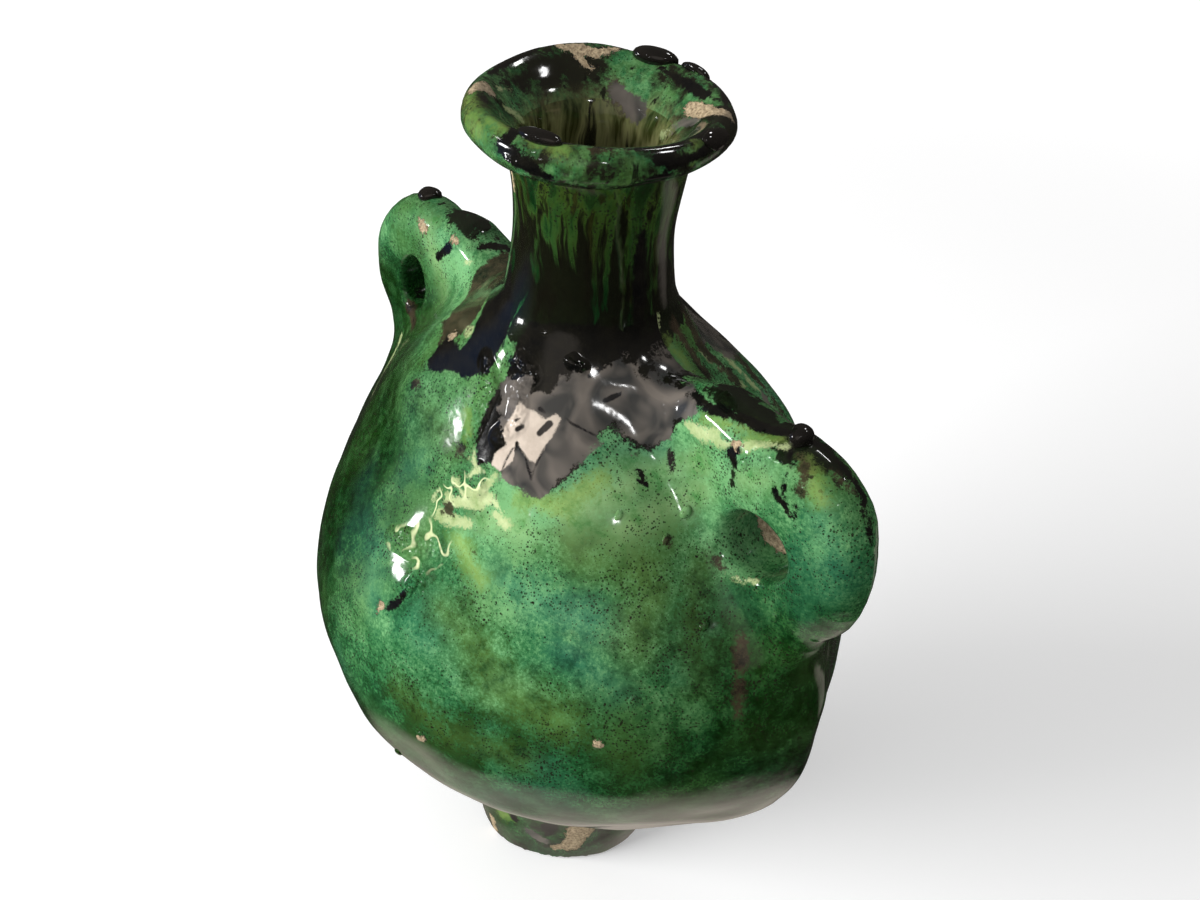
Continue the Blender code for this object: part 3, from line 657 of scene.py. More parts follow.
STROKES = {
    "black_fleck": [                    # dark lines and islands in the mirror of the pool
        [(25, -58, 230, 0.3), (23, -56, 236, 0.3), (22, -52, 241, 0.3), (22, -49, 245, 0.3),
         (23, -48, 246, 0.3)],
        [(23, -48, 246, 0.3), (27, -48, 245, 0.3), (30, -49, 242, 0.4), (33, -50, 240, 0.6)],
        [(33, -50, 240, 0.6), (32, -48, 243, 0.4), (31, -44, 247, 0.3), (30, -38, 253, 0.3),
         (27, -35, 258, 0.3)],
        [(27, -42, 251, 1.0), (28, -39, 254, 1.3)],
        [(20, -46, 250, 0.8), (21, -44, 251, 1.0)],
        [(18, -45, 252, 0.5), (19, -44, 253, 0.3)],
        [(23, -39, 257, 0.7), (25, -38, 256, 0.6)],
        [(36, -23, 261, 0.8), (37, -21, 262, 1.0), (38, -18, 263, 0.6)],
        [(29, -24, 267, 0.6), (30, -22, 268, 0.7), (30, -20, 269, 0.4)],
        [(28, -35, 257, 0.3), (33, -34, 255, 0.4), (37, -32, 254, 0.4), (41, -29, 252, 0.4)],
    ],
    "curls_and_painted_glints": [
        # loops in the coat, then painted glints in rings round the window's highlight on the belly's front
        [(16, -59, 232, 2.9), (9, -62, 225, 3.0), (4, -67, 217, 2.4)],
        [(-5, -79, 202, 2.4), (5, -73, 209, 3.0), (13, -72, 207, 3.0), (10, -77, 202, 3.0)],
    ],
    "olive_cloud": [
        [(25, -81, 193, 4.7), (42, -77, 186, 8.6), (53, -77, 176, 9.9), (73, -68, 173, 9.8)],
        [(70, -35, 224, 5.1), (78, -36, 213, 7.0), (83, -44, 200, 6.4)],
        [(50, -51, 227, 3.2), (62, -45, 223, 3.8)],
        [(81, -18, 222, 2.6), (88, -28, 207, 4.5), (100, -33, 192, 3.8)],
        [(21, -96, 160, 4.8), (39, -92, 153, 5.5), (65, -78, 152, 5.4)],
        [(-2, -57, 236, 3.3), (-24, -54, 239, 3.4)],
        [(-60, 60, 170, 9), (-20, 84, 150, 10), (30, 86, 160, 8)],
        [(70, 48, 200, 7), (40, 66, 210, 6)],
    ],
    "pale_cloud": [
        [(50, -46, 234, 3.8), (53, -38, 238, 5.7), (56, -24, 243, 5.1), (68, -10, 250, 4.4)],
        [(62, -37, 232, 4.4), (65, -23, 235, 5.1), (70, -11, 241, 4.5)],
        [(86, -12, 256, 3.2), (96, -12, 263, 2.2)],
        [(-84, -9, 263, 3.8), (-76, -11, 254, 3.8), (-70, -12, 244, 3.0)],
        [(22, -62, 221, 3.3), (38, -58, 226, 3.9)],
        [(-40, 50, 236, 6), (-10, 66, 222, 6)],
        [(60, 36, 244, 5), (80, 16, 250, 4)],
    ],
    "sea_cloud": [
        [(-36, -74, 195, 4.4), (-12, -83, 194, 5.6), (-2, -92, 183, 4.9)],
        [(38, -66, 209, 4.6), (53, -61, 208, 5.8), (68, -53, 206, 6.4)],
        [(65, -62, 196, 3.9), (84, -52, 187, 4.5)],
        [(93, -16, 213, 2.0), (104, -12, 210, 2.0)],
        [(116, -10, 261, 2.9), (124, -9, 250, 2.9)],
        [(-20, -67, 215, 2.8), (-11, -63, 225, 2.7)],
        [(-90, 30, 200, 7), (-74, 50, 180, 8)],
        [(20, 88, 186, 7), (60, 70, 176, 7)],
    ],
    "black_pool": [
        [(98, -5, 273, 0.8), (100, -8, 271, 0.5), (102, -10, 268, 0.6), (103, -12, 263, 0.5),
         (104, -12, 261, 0.4)],
        [(102, -12, 260, 1.5), (105, -12, 258, 1.6), (107, -12, 256, 1.3)],
        [(101, -12, 260, 0.8), (100, -12, 262, 0.6)],
        [(108, -11, 261, 0.8), (109, -11, 254, 0.7)],
        [(82, -10, 266, 1.4), (81, -11, 263, 2.0), (83, -12, 260, 1.6)],
        [(83, -12, 258, 0.8), (83, -11, 255, 1.1), (83, -11, 252, 1.6)],
        [(56, -12, 250, 1.0), (58, -13, 248, 1.3), (60, -14, 244, 0.9)],
        [(54, -23, 244, 0.8), (56, -23, 242, 0.9)],
        [(58, -23, 241, 0.3), (56, -25, 242, 0.4)],
        [(30, -5, 322, 1.6), (27, -3, 300, 2.6), (30, -4, 279, 2.6)],      # the widest run down the neck
        [(6, -41, 341, 2.6), (7, -38, 345, 2.0), (-19, -13, 330, 1.3)],    # the front of the lip
        [(8, -41, 340, 2.8), (16, -39, 339, 2.5), (21, -36, 337, 1.4)],
        [(40, -11, 343, 2.3), (38, -6, 345, 2.5), (34, 3, 343, 2.6), (36, 7, 344, 1.7), (37, 14, 343, 1.8)],
        [(41, -8, 340, 1.7), (41, 5, 341, 1.4), (38, 15, 342, 1.5)],
        [(-30, -24, 335, 1.6), (-10, -37, 334, 2.0), (8, -39, 334, 1.8), (26, -30, 334, 2.6),
         (39, -10, 336, 3.0)],
        [(20, -32, 346, 0.8), (30, -22, 346, 1.2), (36, -12, 346, 1.8)],
        [(-15, 34, 344, 1.6), (-14, 39, 346, 1.9), (3, 39, 345, 1.9), (16, 37, 343, 1.9), (25, 29, 343, 1.2)],
        [(-9, 33, 343, 1.3), (5, 33, 342, 1.6), (14, 31, 342, 1.9)],       # the back of the lip
        [(-32, -18, 345, 1.2), (-36, -8, 344, 1.6), (-39, 6, 345, 1.3)],
        [(52, -4, 266, 2.2), (67, -7, 270, 1.9), (75, -5, 271, 2.0), (83, -3, 271, 2.1), (94, 0, 274, 2.1)],
        [(98, 2, 274, 1.8), (104, 3, 274, 1.6), (110, 3, 272, 1.5), (116, 3, 269, 1.4), (121, 3, 265, 1.1)],
        [(122, 1, 264, 1.3), (128, 0, 255, 1.0)],
        [(-109, 0, 237, 1.6), (-108, 0, 229, 2.1), (-99, -5, 225, 1.6)],   # the left lug
        [(-86, 1, 271, 0.9), (-72, -7, 269, 0.9)],
        [(-67, -11, 264, 1.8), (-75, -11, 256, 1.5)],
        [(-54, -5, 269, 2.2), (-49, 2, 268, 2.2)],
        [(11, -86, 193, 1.2), (9, -89, 188, 1.7), (6, -91, 184, 1.0)],     # specks of grog on the belly
        [(8, -95, 119, 1.1), (11, -95, 121, 1.1)],
        [(12, -92, 110, 1.1), (26, -91, 117, 1.1)],
        [(28, -31, 28, 4.0), (27, -32, 20, 2.6)], [(10, -41, 32, 3.0), (13, -40, 24, 2.4)],    # the foot
        [(22, 24, 279, 4), (6, 33, 274, 6), (-12, 30, 276, 6), (-27, 17, 277, 4)],
        [(-88, 12, 262, 1.6), (-84, 14, 254, 1.2)],
        [(66, 54, 214, 1.5), (68, 58, 206, 1.1)],
    ],
    "burnt_glaze": [
        [(14, 32, 268, 4.0), (19, 34, 260, 3.4), (28, 38, 255, 3.2), (38, 41, 249, 3.0), (49, 42, 244, 2.4),
         (56, 43, 239, 1.4)],                                              # down the right shoulder
        [(24, 24, 270, 3.4), (32, 24, 263, 3.2), (44, 29, 254, 2.6), (56, 28, 251, 1.6)],
        [(28, 12, 272, 3.0), (38, 16, 262, 2.6), (52, 18, 258, 2.0), (66, 16, 258, 1.2)],
        [(-98, -10, 223, 2.4), (-88, -16, 221, 2.8)],
        [(102, -5, 273, 1.4), (105, -6, 272, 1.8), (107, -9, 269, 1.8), (108, -10, 266, 1.3)],
        [(111, -1, 272, 0.8), (115, -1, 270, 1.3), (118, 0, 268, 1.0)],
        [(80, -10, 226, 0.7), (82, -12, 222, 0.9), (85, -13, 219, 0.6)],
        [(9, -65, 219, 1.7), (9, -66, 218, 1.7)],
        [(-31, -51, 241, 1.7), (-30, -51, 242, 1.7)],
        [(3, -57, 235, 1.0), (4, -57, 236, 1.0)],
        [(25, -68, 211, 1.0), (26, -68, 211, 1.0)],
        [(102, -18, 203, 2.2), (112, -26, 181, 1.9)],
        [(72, -25, 228, 1.0), (72, -25, 227, 1.0)],
        [(85, -14, 223, 1.3), (86, -14, 221, 1.3)],
        [(27, -29, 345, 1.4), (35, -15, 346, 1.4)],
        [(-17, 21, 337, 3.2), (-9, 20, 333, 3.2)],
        [(90, 44, 168, 2.6), (92, 46, 160, 2.0), (90, 48, 152, 1.2)],
        [(-50, 78, 160, 2.2), (-46, 82, 154, 1.6)],
        [(42, 18, 260, 2.2), (54, 28, 252, 2.8), (70, 24, 256, 2.2), (86, 16, 262, 1.8)],
        [(66, 12, 268, 1.3), (88, 12, 268, 1.5)],
    ],
    "bare_clay": [
        [(-36, 14, 344, 1.6), (-29, 21, 344, 2.6), (-25, 28, 345, 1.6)],
        [(-30, 16, 343, 1.8), (-25, 17, 341, 1.2)],
        [(-26, -31, 345, 1.8), (-26, -25, 344, 2.6), (-23, -24, 343, 2.0)],
        [(13, 27, 338, 2.4), (20, 25, 341, 2.4), (29, 24, 344, 3.0)],
        [(-7, -28, 327, 1.8), (-7, -28, 319, 1.6)],
        [(4, -91, 184, 1.7), (3, -92, 181, 1.0)],
        [(33, -96, 145, 1.7), (34, -96, 146, 1.4)],
        [(85, -61, 167, 1.0), (86, -61, 167, 1.0)],
        [(-2, -41, 8, 2.3), (-1, -41, 1, 2.3)],
        [(37, -19, 31, 5.5), (35, -21, 22, 5.5), (33, -23, 12, 4.0), (28, -28, 9, 2.0)],
        [(-88, -10, 265, 1.9), (-86, -10, 263, 1.9)],
        [(-67, -9, 268, 1.1), (-65, -9, 267, 1.1)],
        [(-28, -37, 257, 1.4), (-27, -38, 257, 1.4)],
        [(81, -10, 266, 1.5), (82, -10, 267, 1.2)],
        [(83, 6, 230, 2.4), (86, 7, 226, 3.0), (90, 7, 224, 2.8), (94, 7, 222, 2.2)],
        [(-20, 38, 30, 4), (-24, 35, 20, 3), (-22, 34, 8, 4)],
        [(-40, 6, 26, 2.6), (-39, 0, 20, 1.6)],
        [(14, 92, 128, 1.8), (16, 92, 126, 1.5)],
    ],
    "cream_bloom": [
        [(28, 24, 265, 0.5), (32, 31, 257, 0.7), (40, 35, 252, 0.6)],
        [(34, 32, 256, 0.5), (43, 36, 250, 0.7), (51, 38, 244, 0.5)],
        [(34, 21, 261, 0.5), (40, 26, 255, 0.6), (46, 31, 250, 0.4)],
        [(9, -55, 239, 1.0), (11, -57, 236, 1.3), (14, -57, 235, 1.6), (12, -59, 232, 1.6)],
        [(6, -61, 227, 1.0), (12, -62, 225, 1.3), (19, -60, 230, 1.6), (21, -57, 236, 1.6)],
        [(8, -64, 221, 2.3), (16, -62, 224, 2.0), (23, -59, 229, 2.6), (28, -59, 228, 1.9)],
        [(7, -68, 216, 2.0), (13, -66, 216, 2.0), (19, -64, 218, 1.7)],
        [(32, -60, 225, 2.3), (27, -60, 226, 1.9)],
        [(1, -67, 218, 1.0), (2, -65, 221, 0.7)],
        [(60, -9, 260, 1.3), (66, -10, 261, 2.5), (73, -10, 264, 1.8)],
        [(74, -11, 263, 0.9), (86, -9, 268, 0.9), (97, -5, 273, 0.9)],
        [(-99, -14, 209, 1.6), (-98, -24, 196, 1.6), (-87, -37, 194, 1.6)],
        [(-26, -19, 342, 0.9), (-26, -14, 340, 0.9)],
        [(-20, -20, 338, 0.9), (-19, -15, 333, 0.9)],
        [(6, 20, 328, 0.6), (11, 21, 333, 0.9), (15, 23, 336, 0.6)],
        [(29, 4, 279, 0.9), (30, 4, 274, 1.1)],
        [(-29, -32, 260, 1.7), (-19, -36, 263, 1.7)],
        [(-56, -11, 263, 1.1), (-54, -11, 264, 1.1)],
        [(50, 22, 262, 1.5), (72, 28, 256, 2.0)],
        [(84, -14, 220, 0.6), (88, -13, 219, 1.0), (94, -11, 220, 0.8), (98, -10, 222, 0.5)],
    ],
    "lime_run": [
        [(67, -9, 266, 1.8), (75, -8, 269, 2.1), (83, -5, 270, 1.8)],
        [(84, -8, 269, 1.8), (93, -4, 273, 1.5)],
        [(104, -5, 273, 1.7), (111, -8, 268, 2.3), (114, -8, 266, 2.0)],
        [(-1, -50, 246, 1.6), (3, -53, 242, 1.6)],
        [(18, -68, 212, 3.4), (32, -69, 205, 3.0)],
        [(33, -55, 234, 3.2), (45, -48, 236, 3.8), (49, -35, 243, 3.8)],
        [(-4, -38, 345, 1.7), (3, -38, 345, 1.4)],
        [(-28, -30, 341, 2.6), (-18, -35, 342, 2.6), (-6, -40, 341, 2.6)],
        [(14, -36, 346, 2.0), (22, -33, 345, 2.0)],
        [(2, -42, 32, 3.0), (6, -41, 20, 2.4), (18, -37, 34, 1.6)],
        [(38, 3, 344, 1.1), (42, 0, 340, 1.1)],
        [(33, 6, 272, 1.3), (39, 8, 266, 1.6), (48, 5, 267, 1.3)],
    ],
    "grey_film_and_painted_reflection": [
        [(20, -35, 18, 3.0), (24, -33, 14, 2.5)],
        [(-17, 21, 337, 2.6), (-6, 21, 332, 3.6)],
        # on the back of the throat this grey is a painted highlight
        [(10, 20, 334, 2.0), (20, 22, 338, 2.2)],
        [(50, 8, 266, 1.3), (62, 12, 264, 1.6), (74, 9, 268, 1.3), (90, 8, 271, 1.1)],
        [(50, 38, 244, 2.2), (62, 34, 246, 2.6), (78, 26, 252, 2.2)],
    ],
    "froth": [
        [(-7, -79, 202, 2.8), (3, -77, 204, 4.1), (11, -73, 206, 4.0)],
        [(13, -79, 199, 2.7), (12, -83, 195, 2.0)],
        [(-4, -41, 262, 2.6), (3, -44, 257, 3.4), (4, -49, 249, 3.4), (5, -53, 240, 2.4)],
        [(4, -36, 270, 1.6), (9, -37, 267, 2.3), (15, -37, 265, 2.6), (12, -41, 259, 1.6)],
        [(24, -27, 271, 1.6), (26, -25, 269, 1.3)],
        [(18, -60, 230, 2.0), (14, -58, 236, 1.6)],
        [(14, -40, 262, 2.6), (19, -46, 252, 3.0), (16, -50, 246, 3.0)],
        [(88, -8, 268, 1.2), (100, -8, 270, 1.2)],
        [(-6, -40, 337, 1.6), (10, -40, 337, 2.0), (26, -32, 337, 2.0)],
    ],
    "beige_film_and_painted_reflection": [[(60, 8, 262, 1.6), (76, 8, 266, 1.6), (90, 8, 268, 1.4)]],
}
LAYERS = (
    "froth", "curls_and_painted_glints", "olive_cloud", "pale_cloud", "sea_cloud", "lime_run", "cream_bloom", "burnt_glaze",
    "black_pool", "grey_film_and_painted_reflection", "beige_film_and_painted_reflection", "black_fleck", "bare_clay",
)
NOWHERE = 60.0                  # what a point gets where a glaze isn't near
FRONT_EDGE = 5.0                # how far past the seam the front's outlines still count


def stroke_distance(points, stroke):
    nearest = np.full(len(points), NOWHERE)
    dabs = np.array(stroke, float)
    for start, end in zip(dabs, dabs[1:]):
        line = end[:3] - start[:3]
        share = np.clip((points - start[:3]) @ line / (line @ line), 0, 1)
        away = np.linalg.norm(points - start[:3] - share[:, None] * line, axis=1)
        nearest = np.minimum(nearest, away - start[3] - share * (end[3] - start[3]))
    return nearest


def lay_glazes(piece):
    """Writes on each point how far it is outside each layer, glazes, painted reflections and painted glints
    alike, in millimetres.
    """
    points = read_points(piece.data)
    front = points[:, 1] < FRONT_EDGE
    for layer in LAYERS:
        nearest = np.full(len(points), NOWHERE)
        for half, outlines in ((front, OUTLINES), (~front, BACK_OUTLINES)):
            x, _, z = points[half].T
            for outline in outlines.get(layer, ()):
                nearest[half] = np.minimum(nearest[half], outline_distance(x, z, np.array(outline, float)))
        for stroke in STROKES[layer]:
            nearest = np.minimum(nearest, stroke_distance(points, stroke))
        layer_marks = piece.data.attributes.new(layer, "FLOAT", "POINT")
        layer_marks.data.foreach_set("value", nearest.astype(np.float32))


# Glazes

def linear(code):
    """An sRGB hex colour as the linear one that the shaders take."""
    channels = [int(code[i:i + 2], 16) / 255 for i in (1, 3, 5)]
    return tuple(c / 12.92 if c <= 0.04045 else ((c + 0.055) / 1.055) ** 2.4 for c in channels) + (1.0,)


def feed(tree, made, inputs):
    """Gives each input a value, another node's output or, where it is a node, the first output in use."""
    for name, value in inputs.items():
        if isinstance(value, bpy.types.Node):
            value = next(socket for socket in value.outputs if socket.enabled)
        if isinstance(value, bpy.types.NodeSocket):
            tree.links.new(value, made.inputs[name])
        else:
            made.inputs[name].default_value = value


def node(tree, kind, inputs=None, **settings):
    """Adds a node with its settings and links."""
    made = tree.nodes.new("ShaderNode" + kind)
    for name, value in settings.items():
        setattr(made, name, value)
    feed(tree, made, inputs or {})
    return made


def new_material(name):
    material = bpy.data.materials.new(name)
    material.use_nodes = True
    tree = material.node_tree
    return material, tree, tree.nodes["Principled BSDF"]


FACTOR, FIRST, SECOND = 0, 6, 7         # the Mix node's sockets when it mixes colours

# Each layer: how soft its edge is and how far coarse and fine noise fray it, all in millimetres, then
# its thin and thick colours and how much it hides of what is under it
LAYER_LOOKS = {
    "lime_run": (3.0, 9.0, 3.0, "#55803A", "#9DB45C", 0.64),
    "cream_bloom": (0.8, 5.0, 2.0, "#94A76F", "#CBD2A0", 0.82),
    "burnt_glaze": (0.9, 6.0, 2.4, "#0F0F0C", "#4A3D2E", 0.93),
    "black_pool": (0.5, 2.6, 1.6, "#060708", "#15140F", 1.0),
    # grey: a painted reflection over the black pool and a painted highlight in the throat; elsewhere a grey
    # film
    "grey_film_and_painted_reflection": (0.6, 6.0, 1.0, "#363635", "#6C655E", 0.94),
    # beige: the painted reflection of the lit wall in the black pool, and beige along the right lug's ridge
    "beige_film_and_painted_reflection": (0.35, 1.4, 0.5, "#B9AB9D", "#CFC1B2", 0.97),
    "black_fleck": (0.3, 0.5, 0.2, "#08090C", "#1B1A1C", 0.96),
    "bare_clay": (0.25, 4.4, 2.0, "#75634A", "#CDB896", 1.0),
}
# The broad clouds that the fire left in the green itself, under its specks
CLOUD_LOOKS = {
    "sea_cloud": (9.0, 18.0, 5.0, "#17483B", "#4E9878", 0.52),
    "olive_cloud": (9.0, 18.0, 6.0, "#233410", "#5F7C38", 0.62),
    "pale_cloud": (7.0, 14.0, 5.0, "#548C4A", "#B2CB8E", 0.56),
}
# The fine pale curls, loops that the coat drew itself into and painted glints in rings round the window's
# highlight on the belly's front: how fine they are, and their colour
CURLS_AND_GLINTS = (0.034, "#C9D3A0")
# The noises of the coat: what carries each, its size in millimetres, its detail, roughness and seed
NOISES = {
    "clouds": ("swirl", 42, 4.0, 0.62, 0), "mottle": ("stir", 8, 5.0, 0.72, 0),
    "grain": ("place", 1.2, 3.0, 0.75, 0), "runs": ("drawn", 4.2, 3.0, 0.6, 0),
    "fire": ("swirl", 46, 4.0, 0.5, 3), "neck_rust": ("drawn", 3, 3.0, 0.5, 5),
    "rust": ("swirl", 15, 6.0, 0.7, 8), "flock": ("place", 17, 3.0, 0.6, 0),
    "slow": ("swirl", 8, 1.0, 0.5, 0), "waves": ("place", 7, 2.0, 0.5, 0),
    "wrinkles": ("place", 3.2, 1.0, 0.5, 0),
}
# Where the coat changes: measured up the vase or along its seam, from where it starts to where it is full,
# in millimetres, and how far it goes
# the low, right-end and left gates place painted shade, the right held under the lug and the left under the
# ridge
GATES = {
    "on_neck": ("up", 262, 292, 1.0), "off_neck": ("up", 292, 262, 1.0), "low": ("up", 190, 92, 0.86),
    "right_end": ("along", 66, 112, 0.95), "below_lug": ("up", 290, 196, 1.0),
    # underside: the olive band under the belly, partly the glaze's own olive and partly a painted reflection
    # of the shaded board
    "left": ("along", 12, -46, 1.0), "below_ridge": ("up", 258, 226, 1.0), "underside": ("up", 112, 72, 0.80),
}
# The iron specks: how far apart they are in millimetres, their size and how dark they are, as shares
SPECKS = ((4.0, 0.10, 0.92), (1.5, 0.21, 0.86), (0.85, 0.34, 0.80))


def copper_glaze(name, depth, streaks, iron, roughness):
    """Copper-green glaze, poured over stoneware and fired until it ran: a glassy coat, sea green where it is
    thin and bottle green where it pooled, with dark specks of iron, runs, bare clay and black pools.

    depth is how dark it is as a whole, streaks is how far its runs are drawn out down the neck, and iron is
    how much of it the dark clouds take. Painted shade darkens the green towards the foot, at the right end
    and on the left.
    """
    material, tree, shader = new_material(name)
    place = node(tree, "VectorMath", {
        0: node(tree, "TexCoord").outputs["Object"], "Scale": MM
    }, operation="SCALE")
    along, _, up = node(tree, "SeparateXYZ", {0: place}).outputs
    drift = node(tree, "TexNoise", {"Vector": place, "Scale": 1 / 26, "Detail": 2.0})
    warp = node(tree, "VectorMath", {0: drift.outputs["Color"], 1: (0.5, 0.5, 0.5)}, operation="SUBTRACT")
    swirl, stir = (
        node(tree, "VectorMath", {0: warp, 1: (far, far, far), 2: place}, operation="MULTIPLY_ADD")
        for far in (10.0, 5.0)
    )
    ways = {
        "place": place, "swirl": swirl, "stir": stir, "up": up, "along": along,
        "drawn": node(tree, "Mapping", {"Vector": swirl, "Scale": (1.0, 1.0, 0.07)}),
    }
    noise = {
        part: node(tree, "TexNoise", {
            "Vector": ways[way], "Scale": 1 / size, "Detail": detail, "Roughness": rough,
            **({"W": seed} if seed else {})
        }, noise_dimensions="4D" if seed else "3D")
        for part, (way, size, detail, rough, seed) in NOISES.items()
    }
    gate = {
        part: node(tree, "MapRange", {
            0: ways[way], 1: start, 2: full, 4: most
        }, interpolation_type="SMOOTHSTEP") for part, (way, start, full, most) in GATES.items()
    }
    # how thin the coat is, from nothing where it pooled to one where it is a mere skin
    thin = node(tree, "MapRange", {0: up, 1: 110.0, 2: 228.0, 3: -0.05, 4: 0.06})
    for part, weight in (("mottle", 0.36), ("clouds", 0.62), ("grain", 0.46)):
        thin = node(tree, "Math", {0: noise[part], 1: weight, 2: thin}, operation="MULTIPLY_ADD")
    run_share = node(tree, "Math", {0: gate["on_neck"], 1: streaks}, operation="MULTIPLY")
    thin = node(tree, "Mix", {
        0: run_share, 2: thin, 3: node(tree, "Math", {0: noise["runs"], 1: 0.23}, operation="ADD")
    })
    pooled, skin = (
        node(tree, "MapRange", {0: thin, 1: low, 2: high}, interpolation_type="SMOOTHSTEP")
        for low, high in ((0.61, 0.77), (0.72, 0.94))
    )
    # olive where the fire was cooler, and brown where iron came through the green
    olive, teal, neck_olive, neck_rust, rust, mouth_runs = (
        node(tree, "MapRange", {0: noise[part], 1: low, 2: high, 4: most}) for part, low, high, most in (
            ("fire", 0.47, 0.62, 0.50), ("fire", 0.44, 0.34, 0.38), ("runs", 0.38, 0.56, 1.0),
            ("neck_rust", 0.54, 0.62, 0.85),
            ("rust", 0.62 - 0.2 * iron, 0.72 - 0.2 * iron, min(1.0, 0.3 + iron)), ("runs", 0.36, 0.64, 1.0),
        )
    )
    # right and left carry the painted shade, and underside the olive band that is partly a painted reflection
    teal, neck_olive, neck_rust, right, left, underside = (
        node(tree, "Math", {0: share, 1: where}, operation="MULTIPLY") for share, where in (
            (teal, gate["off_neck"]), (neck_olive, run_share), (neck_rust, run_share),
            (gate["right_end"], gate["below_lug"]), (gate["left"], gate["below_ridge"]),
            (gate["underside"], node(tree, "MapRange", {0: up, 1: FOOT_TOP, 2: FOOT_TOP + 12})),
        )
    )
    # painted shade: darker towards the foot, at the right end under the lug and on the left under the ridge,
    # unevenly with the mottle; the glaze itself is darker up the neck
    dark = node(tree, "Math", {0: gate["on_neck"], 1: 0.95 * min(1, streaks)}, operation="MULTIPLY")
    for where in (gate["low"], right, left):
        dark = node(tree, "Math", {0: dark, 1: where}, operation="MAXIMUM")
    uneven = node(tree, "MapRange", {0: noise["mottle"], 1: 0.36, 2: 0.62, 3: 1.06, 4: 0.80})
    dark = node(tree, "Math", {0: dark, 1: uneven}, operation="MULTIPLY")
    dark = node(tree, "Math", {0: dark, 1: depth}, operation="ADD", use_clamp=True)
    # iron specks, a few to the square centimetre, and finer ones between them
    crowding = node(tree, "MapRange", {0: noise["flock"], 1: 0.38, 2: 0.60, 3: 0.40, 4: 1.5})
    specks = []
    for apart, size, share in SPECKS:
        cells = node(tree, "TexVoronoi", {"Vector": place, "Scale": 1 / apart})
        wanted = node(tree, "SeparateColor", {0: cells.outputs["Color"]})
        for factor in (size, crowding):
            wanted = node(tree, "Math", {0: wanted, 1: factor}, operation="MULTIPLY")
        speck = node(tree, "Math", {0: cells, 1: wanted}, operation="LESS_THAN")
        specks.append(node(tree, "Math", {0: speck, 1: share}, operation="MULTIPLY"))
    # the fire left the throat olive brown, up to where the lip turns outward
    inward = node(tree, "VectorMath", {0: place, 1: (1.0, 1.0, 0.0)}, operation="MULTIPLY")
    inward = node(tree, "VectorMath", {0: inward}, operation="LENGTH")
    inside = node(tree, "Math", {
        0: node(tree, "Math", {0: inward, 1: 24.0}, operation="LESS_THAN"),
        1: node(tree, "Math", {0: up, 1: 330.0}, operation="GREATER_THAN"),
    }, operation="MAXIMUM")
    throat = node(tree, "MapRange", {0: inward, 1: 30.0, 2: 24.0, 4: 0.80})
    for where in (inside, node(tree, "MapRange", {0: up, 1: 338.0, 2: 326.0})):
        throat = node(tree, "Math", {0: throat, 1: where}, operation="MULTIPLY")
    brown = node(tree, "Mix", {
        FACTOR: mouth_runs, FIRST: linear("#3A3A18"), SECOND: linear("#A8A672")
    }, data_type="RGBA")
    # the runs that dripped from the neck into the black pool round its root
    fall = node(tree, "Mix", {
        0: node(tree, "MapRange", {0: up, 1: 262.0, 2: 272.0}), 2: -1.0,
        3: node(tree, "MapRange", {0: up, 1: 336.0, 2: 276.0, 3: -0.02, 4: 0.32}),
    })
    soot = node(tree, "Math", {0: noise["runs"], 1: fall}, operation="ADD")
    soot = node(tree, "MapRange", {0: soot, 1: 0.575, 2: 0.68, 4: 0.96}, interpolation_type="SMOOTHSTEP")
    # the curls, loops in the coat and painted glints, are the contours of a slow swirl
    fineness, curl_code = CURLS_AND_GLINTS
    line = node(tree, "Math", {0: noise["slow"], 1: 0.5}, operation="SUBTRACT")
    line = node(tree, "Math", {0: line}, operation="ABSOLUTE")
    line = node(tree, "MapRange", {0: line, 1: fineness, 2: fineness / 3})
    curled = node(tree, "Attribute", attribute_name="curls_and_painted_glints").outputs["Fac"]
    curled = node(tree, "MapRange", {0: curled, 1: 2.5, 2: 0.0})
    line = node(tree, "Math", {0: line, 1: curled}, operation="MULTIPLY")
    # the noise that frays the edge of each layer, and the one that shades it where it isn't the mottle
    frays = [
        node(tree, "Math", {0: noise[part], 1: 0.5}, operation="SUBTRACT") for part in ("mottle", "grain")
    ]
    casts = {"bare_clay": noise["grain"], "grey_film_and_painted_reflection": node(tree, "TexNoise", {
        "Vector": swirl, "Scale": 1 / 13, "Detail": 1.5, "Distortion": 1.4
    })}

    def lay(layer, looks):
        """How far one layer covers what is under it, and its colour there; some layers are painted
        reflections.
        """
        soft, coarse, fine, thin_code, thick_code, share = looks
        away = node(tree, "Attribute", attribute_name=layer).outputs["Fac"]
        for fray, far in zip(frays, (coarse, fine)):
            away = node(tree, "Math", {0: fray, 1: 2 * far, 2: away}, operation="MULTIPLY_ADD")
        cover = node(tree, "MapRange", {
            0: away, 1: soft, 2: -soft, 4: share
        }, interpolation_type="SMOOTHSTEP")
        cast = node(tree, "MapRange", {0: casts.get(layer, noise["mottle"]), 1: 0.34, 2: 0.66})
        return cover, node(tree, "Mix", {
            FACTOR: cast, FIRST: linear(thin_code), SECOND: linear(thick_code)
        }, data_type="RGBA")

    # every coat in its order: how far it covers, and its colour
    coats = [
        (pooled, "#306B3F"), (skin, "#6FA56E"), (olive, "#4F7034"), (teal, "#2C6F58"), (neck_olive, "#55651F")
    ]
    coats += [lay(layer, looks) for layer, looks in CLOUD_LOOKS.items()]
